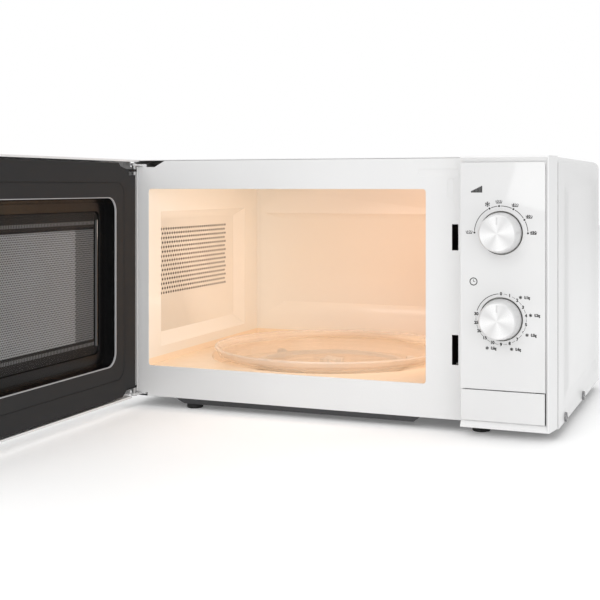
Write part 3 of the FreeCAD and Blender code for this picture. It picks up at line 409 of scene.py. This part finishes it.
def plate_glass():
    """The turntable: clear in its dish; brighter and fuller along its raised outer ring, a painted
    highlight.
    """
    f = Finish("plate_glass")
    x, y, z = f.axes()
    low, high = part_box("glass_plate")
    dx, dy = x - (low.x + high.x) / 2, y - (low.y + high.y) / 2
    radius = f.calculate("SQRT", dx * dx + dy * dy)
    painted_rim_highlight = ((radius - (high.x - low.x) / 2 + 0.006) * 260.0).clamped()
    edge = f.add("ShaderNodeLayerWeight", {}, {0: 0.4}, out=1)
    smear = f.noise(24, 4.0, 0.6)
    # painted highlight: the raised outer ring is coloured lighter and made more opaque
    tone = f.mix(painted_rim_highlight, colour(240, 214, 190), colour(255, 240, 226))
    body = (0.12 + edge.power(2.0) * 0.35 + painted_rim_highlight * 0.3 + smear * 0.03).clamped()
    MADE["plate_glass"] = f.finish(f.shader(
        Base_Color=tone, Roughness=0.04 + smear * 0.04, Alpha=body, IOR=1.5,
        Normal=f.bump(f.noise(60, 2.0), 0.02, 0.0002), Coat_Weight=0.6, Coat_Roughness=0.03))


def window_plate():
    f = Finish("window_acrylic")
    x, y, z = f.axes()
    half_width, half_height = 124 * MM, 88 * MM
    middle = ((y + 0.13965).abs() < half_width) * ((z - 0.13635).abs() < half_height)
    grain = f.noise(300, 2.0)
    tone = f.mix(grain * 0.3, colour(240, 240, 240), colour(234, 234, 235))
    white = f.shader(Base_Color=tone, Roughness=0.16 + grain * 0.05,
                     Coat_Weight=0.8, Coat_Roughness=0.05)
    tinted = f.shader(Base_Color=colour(38, 39, 41), Roughness=0.03 + grain * 0.03,
                      Transmission_Weight=1.0, IOR=1.3)
    both = f.add("ShaderNodeMixShader", {}, {0: middle, 1: white, 2: tinted})
    MADE["window_acrylic"] = f.finish(both)


plate_glass()
clear_film()
window_plate()
print(len(MADE), "finishes with the glasses")


# %% [markdown]
# ## Mica, circuit board and lamp
# Three small finishes remain. Mica is a pale flaky mineral sheet that covers the waveguide.
# The filter's board is brown phenolic paper, and the lamp's bulb glows warm. Each takes its
# variation from one cheap texture, because none of them fills much of the view.

# %% Mica, circuit board and lamp
def mica():
    f = Finish("mica")
    shine = f.crystals(180)
    tone = f.mix(shine, colour(226, 214, 190), colour(198, 182, 152))
    MADE["mica"] = f.finish(f.shader(Base_Color=tone, Roughness=0.35 + shine * 0.25,
                                     Normal=f.bump(f.noise(240, 3.0), 0.2, 0.0004)))


def circuit_board():
    f = Finish("board")
    weave = f.noise(900, 2.0)
    tone = f.mix(weave, colour(158, 118, 62), colour(134, 98, 50))
    MADE["board"] = f.finish(f.shader(Base_Color=tone, Roughness=0.5 + weave * 0.1,
                                      Normal=f.bump(weave, 0.2, 0.0003)))


def lit_glass():
    f = Finish("lamp_glass")
    hot = f.noise(90, 2.0)
    glow = f.mix(hot, (1.0, 0.78, 0.5, 1.0), (1.0, 0.66, 0.36, 1.0))
    MADE["lamp_glass"] = f.finish(f.shader(Base_Color=colour(255, 236, 200), Roughness=0.2 + hot * 0.1,
                                           Emission_Color=glow, Emission_Strength=30.0))


mica()
circuit_board()
lit_glass()
print(len(MADE), "finishes in all")

# %% [markdown]
# ## Dressing the CAD nodes
# Nodes that nobody sees up close keep their CAD mesh and just take the finish of their slot.
# The visible ones are copied first. The copy's loose triangles are merged into clean
# faces, its edges get the small radius that a press or a mould leaves, and its smooth
# faces are shaded smooth. The copy stands in for the node from then on.

# %% Finish by slot
SLOT_OF = {entry["node"]: entry["material_slot"] for entry in frame["record"]["subparts"]}
for node, obj in frame["nodes"].items():
    finish = MADE.get(SLOT_OF[node]) or MADE["white_plastic"]
    obj.data.materials.clear()
    obj.data.materials.append(finish)
print("dressed", len(frame["nodes"]), "nodes")


# %% [markdown]
# A real edge is never perfectly sharp, and its thin highlight is what makes a part look made.
# One function copies a node, merges its loose triangles and adds a bevel of a few tenths of a
# millimetre. Pressed steel gets a small radius, moulded plastic a larger one.

# %% Copies with softened edges
def baked(bm, name):
    """Turn a finished bmesh into a mesh."""
    mesh = bpy.data.meshes.new(name)
    bm.to_mesh(mesh)
    bm.free()
    return mesh


def new_piece(name, mesh, material, body):
    """Put a finished mesh into the scene, riding on its body."""
    obj = bpy.data.objects.new(name, mesh)
    bpy.context.scene.collection.objects.link(obj)
    obj.data.materials.clear()
    obj.data.materials.append(material)
    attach(obj, body)
    return obj


def tidy_mesh(mesh, smooth_angle):
    for face in mesh.polygons:
        face.use_smooth = True
    mesh.set_sharp_from_angle(angle=math.radians(smooth_angle))


def merged_copy(node):
    """The node's triangles in a bmesh of our own, joined where they meet."""
    bm = bmesh.new()
    bm.from_mesh(frame["nodes"][node].data)
    bmesh.ops.remove_doubles(bm, verts=bm.verts, dist=0.002 * MM)
    return bm


def softened(node, name, edge, material=None, segments=2, angle=35.0):
    """A merged copy of a CAD node with a small radius on its sharp edges."""
    bm = merged_copy(node)
    bmesh.ops.dissolve_limit(bm, angle_limit=math.radians(0.6), verts=bm.verts, edges=bm.edges)
    mesh = baked(bm, name)
    obj = new_piece(name, mesh, material or MADE[SLOT_OF[node]], BODY_OF[node])
    tidy_mesh(mesh, angle)
    if edge:
        bevel = obj.modifiers.new("edge_radius", "BEVEL")
        bevel.width = edge * MM
        bevel.segments = segments
        bevel.limit_method = "ANGLE"
        bevel.angle_limit = math.radians(angle)
        bevel.harden_normals = True
    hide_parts(node)
    print(name, len(mesh.polygons), "faces")
    return obj


softened("outer_wrap", "wrap", 0.25)
softened("face_frame", "front_frame", 0.2)
softened("door_frame", "door_moulding", 0.6)
softened("control_housing", "panel_moulding", 0.5)
softened("control_plate", "panel_plate", 0.0, MADE["gloss_white"])
softened("door_window", "door_front_plate", 0.35)
softened("door_button", "open_button", 0.3, MADE["gloss_white"])
softened("choke_cover", "door_inner_cover", 0.5, MADE["cover_plastic"], segments=3)
softened("cavity_shell", "cavity", 0.0, angle=9.0)
softened("base_plate", "base_pan", 0.3)
softened("glass_plate", "turntable_plate", 0.5, segments=3)
softened("power_knob", "power_dial_knob", 0.35, MADE["spun_power"], segments=3)
softened("timer_knob", "timer_dial_knob", 0.35, MADE["spun_timer"], segments=3)
softened("cabinet_screws", "screws", 0.15, MADE["chrome_screw"])
softened("feet", "rubber_feet", 0.3)
softened("back_panel", "rear_cover", 0.15)

# %% [markdown]
# Two springs are squeezed when the button or the hooks move by 4 mm. A copy cannot squeeze, so
# we draw both at their squeezed length, held at the fixed end. The missing 4 mm lie hidden
# behind the button and inside the door, and no coil ever pokes through a face.

# %% Springs at their shortest
def squeezed(node, name, axis, fixed_end, travel):
    """A copy of a spring, shortened by the travel about its fixed end."""
    low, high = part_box(node)
    share = 1.0 - travel / (high[axis] - low[axis])
    bm = merged_copy(node)
    for vertex in bm.verts:
        vertex.co[axis] = fixed_end + (vertex.co[axis] - fixed_end) * share
    mesh = baked(bm, name)
    obj = new_piece(name, mesh, MADE[SLOT_OF[node]], BODY_OF[node])
    tidy_mesh(mesh, 50)
    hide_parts(node)
    print(name, "drawn at", round(share, 2), "of its length")


SQUEEZE = 4.3 * MM
squeezed("button_spring", "button_return_spring", 1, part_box("button_spring")[1].y, SQUEEZE)
squeezed("latch_spring", "hook_return_spring", 2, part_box("latch_spring")[1].z, SQUEEZE)

# %% [markdown]
# ## Printed scales
# The control plate is silk-screened: a few hundredths of a millimetre of grey ink. We build
# the ink as real thin shapes lying just proud of the plate, in the plate's own plane, so the
# lines stay crisp from any distance. A stroke is a strip that follows a list of points.

# %% Ink
INK_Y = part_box("control_plate")[0].y - 0.00006
INK_SPREAD = 1.35


def ink_finish():
    f = Finish("scale_ink")
    fade = f.noise(500, 2.0)
    tone = f.mix(fade, colour(22, 22, 22), colour(34, 34, 34))
    MADE["scale_ink"] = f.finish(f.shader(Base_Color=tone, Roughness=0.45 + fade * 0.1,
                                          Normal=f.bump(fade, 0.05, 0.0001)))


ink_finish()


def disc(bm, x, z, radius, sides=16):
    made = bmesh.ops.create_circle(bm, cap_ends=True, radius=radius, segments=sides)
    turn = Matrix.Translation((x, INK_Y, z)) @ Matrix.Rotation(math.radians(90), 4, "X")
    bmesh.ops.transform(bm, matrix=turn, verts=made["verts"])


def stroke(bm, points, width):
    """A flat line of ink through the points (x, z)."""
    width *= INK_SPREAD
    for (x0, z0), (x1, z1) in zip(points, points[1:]):
        length = math.hypot(x1 - x0, z1 - z0)
        made = bmesh.ops.create_grid(bm, x_segments=1, y_segments=1, size=0.5)
        size = Matrix.Diagonal((length + width * 0.5, width, 1, 1))
        lean = Matrix.Rotation(-math.atan2(z1 - z0, x1 - x0), 4, "Y")
        stand = Matrix.Rotation(math.radians(90), 4, "X")
        place = Matrix.Translation(((x0 + x1) / 2, INK_Y, (z0 + z1) / 2))
        bmesh.ops.transform(bm, matrix=place @ lean @ stand @ size, verts=made["verts"])


def on_circle(centre, radius, degrees):
    """Point on a dial, with the angle counted clockwise from its top."""
    a = math.radians(degrees)
    return (centre[0] + radius * math.sin(a), centre[1] + radius * math.cos(a))


def arc(centre, radius, start, end, steps=24):
    return [on_circle(centre, radius, start + (end - start) * i / steps) for i in range(steps + 1)]


def ink_piece(name, bm):
    for face in bm.faces:
        face.normal_update()
        if face.normal.y > 0:
            face.normal_flip()
    mesh = baked(bm, name)
    return new_piece(name, mesh, MADE["scale_ink"], "cabinet")


def lettering(name, words):
    """One mesh of small figures; each entry is (text, x, z, height in metres, width)."""
    bm = bmesh.new()
    for text, x, z, height, width in words:
        curve = bpy.data.curves.new(name, "FONT")
        curve.body = text
        curve.size = height
        curve.offset = 0.2 * MM
        curve.align_x = "CENTER"
        curve.align_y = "CENTER"
        holder = bpy.data.objects.new(name + "_curve", curve)
        mesh = bpy.data.meshes.new_from_object(holder)
        stand = Matrix.Rotation(math.radians(90), 4, "X") @ Matrix.Diagonal((width, 1, 1, 1))
        mesh.transform(Matrix.Translation((x, INK_Y, z)) @ stand)
        bm.from_mesh(mesh)
        bpy.data.meshes.remove(mesh)
        bpy.data.objects.remove(holder)
        bpy.data.curves.remove(curve)
    return ink_piece(name, bm)


print("ink lies at", round(INK_Y, 5))

# %% [markdown]
# The power scale runs over the top half of its knob: six dots joined by thin arcs, a
# snowflake for defrosting, and heat waves that grow from low to high. The timer scale
# counts minutes every twenty degrees, ends in a long arc, and gives thawing weights.

# %% The power scale
POWER_DOTS = (-90, -25.5, -4, 27.5, 60.5, 90)
POWER_R = 24.7 * MM


FINE, BOLD = 0.36 * MM, 0.62 * MM


def heat_waves(bm, x, z, bars):
    """Three little waves in a dish, the usual sign for heating power; bars fill it up."""
    for i in range(3):
        left = x + (i - 1) * 1.5 * MM
        wave = [(left + 0.35 * MM * math.sin(k * 1.3), z + (k - 3) * 0.42 * MM) for k in range(7)]
        stroke(bm, wave, FINE if i >= bars else BOLD)
    top, bottom = z + 0.8 * MM, z - 1.5 * MM
    dish = [(x - 2.9 * MM, top), (x - 2.4 * MM, bottom), (x + 2.4 * MM, bottom), (x + 2.9 * MM, top)]
    stroke(bm, dish, FINE)


def snowflake(bm, x, z, radius):
    for k in range(3):
        a = math.radians(60 * k + 90)
        dx, dz = radius * math.cos(a), radius * math.sin(a)
        stroke(bm, [(x - dx, z - dz), (x + dx, z + dz)], 0.42 * MM)
        for s in (-1, 1):
            for side in (-0.5, 0.5):
                tip = (x + s * dx * 0.95 + side * dz * 0.55, z + s * dz * 0.95 - side * dx * 0.55)
                stroke(bm, [(x + s * dx * 0.55, z + s * dz * 0.55), tip], 0.26 * MM)


def power_scale():
    bm = bmesh.new()
    for degrees in POWER_DOTS:
        disc(bm, *on_circle(POWER_CENTRE, POWER_R, degrees), 0.95 * MM)
    for start, end in zip(POWER_DOTS, POWER_DOTS[1:]):
        stroke(bm, arc(POWER_CENTRE, POWER_R, start + 4, end - 4, 14), 0.42 * MM)
    for bars, degrees in enumerate((-90, -4, 27.5, 60.5, 90)):
        x, z = on_circle(POWER_CENTRE, POWER_R + (3.6 if abs(degrees) < 40 else 5.0) * MM, degrees)
        heat_waves(bm, x, z + 0.6 * MM, bars - 1)
    snowflake(bm, *on_circle(POWER_CENTRE, POWER_R + 4.4 * MM, -25.5), 2.2 * MM)
    ink_piece("power_scale", bm)


def power_steps():
    """Rising bars above the power scale."""
    bm = bmesh.new()
    x0, x1, z0 = 156.3 * MM, 166.9 * MM, 228.8 * MM
    count = 8
    pitch = (x1 - x0) / count
    for i in range(count):
        height = (1.0 + 4.6 * i / (count - 1)) * MM
        x = x0 + (i + 0.5) * pitch
        stroke(bm, [(x, z0), (x, z0 + height)], pitch * 0.66)
    ink_piece("power_steps_sign", bm)


power_scale()
power_steps()
print("power scale: dots at", POWER_DOTS)

# %% [markdown]
# The timer scale is not even: the first ten minutes take ten steps of twenty degrees, and the
# last twenty minutes take only four. Three fine dots fill every gap. Five thawing weights
# stand outside the ring, each beside a small snowflake.

# %% The timer scale
TIMER_R = 23.3 * MM
MINUTES = (0, 1, 2, 3, 4, 5, 6, 7, 8, 9, 10, 15, 20, 25, 30)
WEIGHTS = {2: "0.1kg", 4: "0.2kg", 6: "0.3kg", 8: "0.4kg", 10: "0.5kg"}


def timer_scale():
    bm = bmesh.new()
    words = []
    for i, minutes in enumerate(MINUTES):
        degrees = 20 * i
        x, z = on_circle(TIMER_CENTRE, TIMER_R, degrees)
        words.append((str(minutes), x, z, 3.9 * MM, 1.0))
        if i < len(MINUTES) - 1:
            for share in (0.36, 0.5, 0.64):
                disc(bm, *on_circle(TIMER_CENTRE, TIMER_R, degrees + 20 * share), 0.34 * MM, 8)
        if minutes in WEIGHTS:
            x, z = on_circle(TIMER_CENTRE, TIMER_R + 3.6 * MM, degrees)
            lean = -1 if minutes == 10 else 1
            x += lean * (3.2 * MM if minutes < 9 else 1.0 * MM)
            z -= 1.8 * MM if minutes > 7 else 0.0
            snowflake(bm, x - 2.6 * MM, z, 1.35 * MM)
            words.append((WEIGHTS[minutes], x + 3.4 * MM, z, 3.6 * MM, 0.66))
    stroke(bm, arc(TIMER_CENTRE, TIMER_R, 288, 354), 0.42 * MM)
    ink_piece("timer_scale", bm)
    lettering("timer_figures", words)


def clock_sign():
    bm = bmesh.new()
    centre, radius = (158.7 * MM, 146.1 * MM), 3.3 * MM
    stroke(bm, arc(centre, radius, 0, 360, 36), 0.6 * MM)
    stroke(bm, [centre, (centre[0], centre[1] + 1.9 * MM)], 0.34 * MM)
    stroke(bm, [centre, (centre[0] + 1.4 * MM, centre[1])], 0.34 * MM)
    ink_piece("clock_sign", bm)


timer_scale()
clock_sign()
print("timer scale:", len(MINUTES), "figures")

# %% [markdown]
# ## Punched holes
# The air and the light reach the cavity through fifteen rows of small punched holes, and every
# second row is shifted by half a pitch. A hole is too small for its depth to show, so each is a
# disc of painted shade on the wall, standing for the dark inside the hole. The middle ones are
# painted a little rosier, a painted glow where warm light leaks through.

# %% Vent in the cavity's left wall
def vent_finish():
    f = Finish("vent_painted_shade")
    x, y, z = f.axes()
    painted_glow_mask = 1.0 - ((((y - 0.1516) / 0.06).abs() + ((z - 0.155) / 0.026).abs()) * 0.62)
    glow = painted_glow_mask.clamped()
    # painted shade for the dark inside of each hole, with a painted rosy glow on the middle discs
    tone = f.mix(glow, colour(14, 11, 10), colour(70, 30, 24))
    rough = 0.6 + f.noise(400, 2.0) * 0.2
    MADE["vent_painted_shade"] = f.finish(f.shader(Base_Color=tone, Roughness=rough))


vent_finish()
VENT_ROWS, VENT_COLUMNS = 15, 30
VENT_Y, VENT_Z = 74.8 * MM, 187.1 * MM
VENT_STEP_Y, VENT_STEP_Z = 5.55 * MM, 5.06 * MM
VENT_R = 1.5 * MM


def vent_holes():
    """Round holes 3 mm across, in rows 5 mm apart."""
    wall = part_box("cavity_shell")[0].x + 0.9 * MM
    bm = bmesh.new()
    for row in range(VENT_ROWS):
        count = VENT_COLUMNS - row % 2
        for column in range(count):
            y = VENT_Y + VENT_STEP_Y * (column + 0.5 * (row % 2))
            z = VENT_Z - VENT_STEP_Z * row
            made = bmesh.ops.create_circle(bm, cap_ends=True, radius=VENT_R, segments=8)
            stand = Matrix.Translation((wall, y, z)) @ Matrix.Rotation(math.radians(90), 4, "Z")
            stand = stand @ Matrix.Rotation(math.radians(90), 4, "X")
            bmesh.ops.transform(bm, matrix=stand, verts=made["verts"])
    for face in bm.faces:
        face.normal_update()
        if face.normal.x < 0:
            face.normal_flip()
    mesh = baked(bm, "vent_holes")
    new_piece("vent_holes", mesh, MADE["vent_painted_shade"], "cabinet")
    print(len(mesh.polygons), "vent holes on the wall at", round(wall, 4))


vent_holes()

# %% [markdown]
# ## The perforated screen
# Microwaves cannot pass holes much smaller than their wavelength, but light can. The screen
# is a steel sheet with thousands of staggered holes 2 mm across. One cell of it is a
# hexagon with a hole in it. We bridge the two outlines and repeat the cell into a real sheet.

# %% One cell of the screen
PITCH = 2.4 * MM
ROW_STEP = PITCH * math.sqrt(3) / 2
HOLE_R = 1.04 * MM
SHEET_T = 0.5 * MM
SHEET_Y = -14.55 * MM
HOLES_Z = (79.5 * MM, 193.0 * MM)


def flat_hexagon(bm):
    outer = bmesh.ops.create_circle(bm, radius=PITCH / math.sqrt(3), segments=6)["verts"]
    inner = bmesh.ops.create_circle(bm, radius=HOLE_R, segments=6)["verts"]
    rims = {edge for vertex in outer + inner for edge in vertex.link_edges}
    bmesh.ops.bridge_loops(bm, edges=list(rims))


def screen_cell():
    """One hexagon of sheet with a hole through it, standing in the open door's plane."""
    bm = bmesh.new()
    flat_hexagon(bm)
    grown = bmesh.ops.extrude_face_region(bm, geom=bm.faces[:])
    lifted = [item for item in grown["geom"] if isinstance(item, bmesh.types.BMVert)]
    bmesh.ops.translate(bm, verts=lifted, vec=(0, 0, SHEET_T))
    bmesh.ops.recalc_face_normals(bm, faces=bm.faces)
    stand = Matrix.Rotation(math.radians(90), 4, "Y") @ Matrix.Rotation(math.radians(90), 4, "Z")
    bmesh.ops.transform(bm, matrix=stand, verts=bm.verts)
    return baked(bm, "screen_cell")


cell = screen_cell()
print("one cell has", len(cell.polygons), "faces")

# %% [markdown]
# A punch tool works row by row, and every second row is shifted by half a pitch. We set two
# cells like that and let two array modifiers repeat the pair along the row and up the sheet.
# The middle field is grey enamel; a narrower strip at the hinge side is darker.

# %% Fields of holes
def hole_field(name, x_range, z_range, finish):
    """Fill a rectangle of the closed door's plane with cells, a pair of rows at a time."""
    pair = bmesh.new()
    for row in range(2):
        start = opened(x_range[0] + 0.5 * row * PITCH, SHEET_Y, z_range[0] + row * ROW_STEP)
        one = cell.copy()
        one.transform(Matrix.Translation(start))
        pair.from_mesh(one)
        bpy.data.meshes.remove(one)
    mesh = baked(pair, name)
    obj = new_piece(name, mesh, finish, "door")
    steps = (((0, -PITCH, 0), (x_range[1] - x_range[0]) / PITCH),
             ((0, 0, 2 * ROW_STEP), (z_range[1] - z_range[0]) / (2 * ROW_STEP)))
    for offset, count in steps:
        repeat = obj.modifiers.new("repeat", "ARRAY")
        repeat.use_relative_offset = False
        repeat.use_constant_offset = True
        repeat.constant_offset_displace = offset
        repeat.count = round(count)
    print(name, [m.count for m in obj.modifiers])


hole_field("screen_holes", (-119.0 * MM, 13.0 * MM), HOLES_Z, MADE["mesh_paint"])
hole_field("screen_holes_hinge_side", (-152.6 * MM, -119.0 * MM), HOLES_Z, MADE["mesh_shade"])

# %% [markdown]
# The sheet behind the holes is the steel inner door. On a copy of it we cut the windows that
# the holes fill, so light really passes. Four straight cuts mark a window, its faces go away,
# and the two rims are bridged, which gives the cut edge its thickness again.

# %% Windows in the steel inner door
def cut_window(bm, x_range, z_range):
    y_low, y_high = sorted(opened(x, 0, 0)[1] for x in x_range)
    cuts = [((0, y_low, 0), (0, 1, 0)), ((0, y_high, 0), (0, 1, 0)),
            ((0, 0, z_range[0]), (0, 0, 1)), ((0, 0, z_range[1]), (0, 0, 1))]
    for point, normal in cuts:
        everything = bm.verts[:] + bm.edges[:] + bm.faces[:]
        bmesh.ops.bisect_plane(bm, geom=everything, plane_co=point, plane_no=normal)
    sheet = opened(0, -13.0 * MM, 0)[0]
    gone = []
    for face in bm.faces:
        middle = face.calc_center_median()
        if y_low < middle.y < y_high and z_range[0] < middle.z < z_range[1] and middle.x < sheet:
            gone.append(face)
    bmesh.ops.delete(bm, geom=gone, context="FACES")
    rims = [edge for edge in bm.edges if edge.is_boundary]
    bmesh.ops.bridge_loops(bm, edges=rims)


def inner_door():
    bm = merged_copy("door_panel")
    cut_window(bm, (-153.0 * MM, 12.5 * MM), (79.5 * MM, 192.5 * MM))
    bmesh.ops.recalc_face_normals(bm, faces=bm.faces)
    mesh = baked(bm, "inner_door")
    obj = new_piece("inner_door", mesh, MADE["screen_steel"], "door")
    tidy_mesh(mesh, 35)
    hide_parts("door_panel")
    print("inner door", len(mesh.polygons), "faces")


inner_door()

# %% [markdown]
# ## Ticks and rib
# A row of short pressed ticks runs above and below the holes, where the sheet is clamped in the
# press. Beside the screen, at the hinge side, the moulding ends in a rounded polished rib, and
# the light draws a thin bright line along it.

# %% Ticks above and below, and the rib
def tick_rows():
    """Short pressed ticks above and below the field."""
    bm = bmesh.new()
    for z in (75.0 * MM, 197.5 * MM):
        for i in range(69):
            x, y, _ = opened(-152.6 * MM + PITCH * i, -13.97 * MM, 0)
            made = bmesh.ops.create_cube(bm, size=1.0)
            place = Matrix.Translation((x, y, z)) @ Matrix.Diagonal((0.06 * MM, 1.0 * MM, 3.4 * MM, 1))
            bmesh.ops.transform(bm, matrix=place, verts=made["verts"])
    mesh = baked(bm, "screen_ticks")
    new_piece("screen_ticks", mesh, MADE["mesh_shade"], "door")


tick_rows()


def screen_bead():
    """Rounded rib of the moulding beside the screen, at the hinge side."""
    bm = bmesh.new()
    thick, tall = 2.2 * MM, 128 * MM
    bmesh.ops.create_cone(bm, cap_ends=True, segments=24, radius1=thick, radius2=thick, depth=tall)
    bmesh.ops.translate(bm, verts=bm.verts, vec=opened(-156.3 * MM, -13.6 * MM, 136.4 * MM))
    mesh = baked(bm, "screen_bead")
    new_piece("screen_bead", mesh, MADE["bead_gloss"], "door")
    tidy_mesh(mesh, 40)


screen_bead()
print("ticks and rib are in place")

# %% [markdown]
# ## Camera, light and floor
# A white appliance shows its shape only through soft differences. The room is evenly bright,
# one large soft lamp stands front left, one weaker to the right. A small bright card far in
# front draws the slanted reflection on the glossy control plate. A warm lamp in the cavity's
# right wall lights the left wall most, as the oven's own bulb does.

# %% Camera, light and floor
def stage_floor():
    bm = bmesh.new()
    bmesh.ops.create_grid(bm, x_segments=1, y_segments=1, size=6.0)
    mesh = baked(bm, "floor")
    floor = bpy.data.objects.new("floor", mesh)
    bpy.context.scene.collection.objects.link(floor)
    f = Finish("pale_floor")
    tone = f.mix(f.noise(3.0, 2.0), (0.93, 0.93, 0.93, 1), (0.95, 0.95, 0.95, 1))
    floor.data.materials.append(f.finish(f.shader(Base_Color=tone, Roughness=0.6,
                                                  Emission_Color=(1, 1, 1, 1), Emission_Strength=0.14)))


def area_light(name, place, target, size, power, tint=(1, 1, 1), spin=0.0):
    lamp = bpy.data.lights.new(name, "AREA")
    lamp.shape = "RECTANGLE"
    lamp.size, lamp.size_y = size
    lamp.energy = power
    lamp.color = tint
    obj = bpy.data.objects.new(name, lamp)
    bpy.context.scene.collection.objects.link(obj)
    obj.location = place
    aim = (Vector(target) - Vector(place)).to_track_quat("-Z", "Y").to_matrix().to_4x4()
    obj.matrix_world = Matrix.Translation(place) @ aim @ Matrix.Rotation(math.radians(spin), 4, "Z")
    obj.visible_camera = False


def studio_world():
    """Even white light all round; the backdrop itself is seen as plain white."""
    world = bpy.data.worlds.new("studio")
    world.use_nodes = True
    tree = world.node_tree
    sky = tree.nodes["Background"]
    seen = tree.nodes.new("ShaderNodeLightPath")
    level = tree.nodes.new("ShaderNodeMapRange")
    level.inputs["To Min"].default_value = 0.74
    level.inputs["To Max"].default_value = 1.0
    tree.links.new(seen.outputs["Is Camera Ray"], level.inputs["Value"])
    tree.links.new(level.outputs[0], sky.inputs["Strength"])
    sky.inputs["Color"].default_value = (1, 1, 1, 1)
    bpy.context.scene.world = world


stage_floor()
studio_world()
bpy.context.scene.view_settings.view_transform = "Standard"
area_light("key", (-0.4, -3.0, 2.2), (0, 0, 0.1), (2.2, 1.8), 26)
area_light("overhead", (0.3, 0.1, 2.6), (0, 0, 0), (2.0, 2.0), 14)
area_light("fill", (1.5, -2.2, 1.0), (-0.1, 0, 0.12), (1.6, 1.6), 9)
area_light("card", (-0.198, -2.466, 0.24), (0.18, 0.0, 0.2), (0.2, 0.16), 0.26, spin=-16.0)
WARM = (1.0, 0.93, 0.85)
area_light("oven_light", (0.086, 0.10, 0.185), (-0.17, 0.30, 0.10), (0.04, 0.04), 0.26, WARM)

camera = bpy.data.objects.new("camera", bpy.data.cameras.new("camera"))
bpy.context.scene.collection.objects.link(camera)
camera.location = (0.3993, -1.0204, 0.2342)
camera.rotation_euler = (math.radians(90), 0, math.radians(21.95))
camera.data.lens = 67.5
camera.data.sensor_width = 36
camera.data.shift_y = -0.1893
camera.data.clip_start = 0.01
bpy.context.scene.camera = camera
print("camera at", tuple(round(v, 3) for v in camera.location))
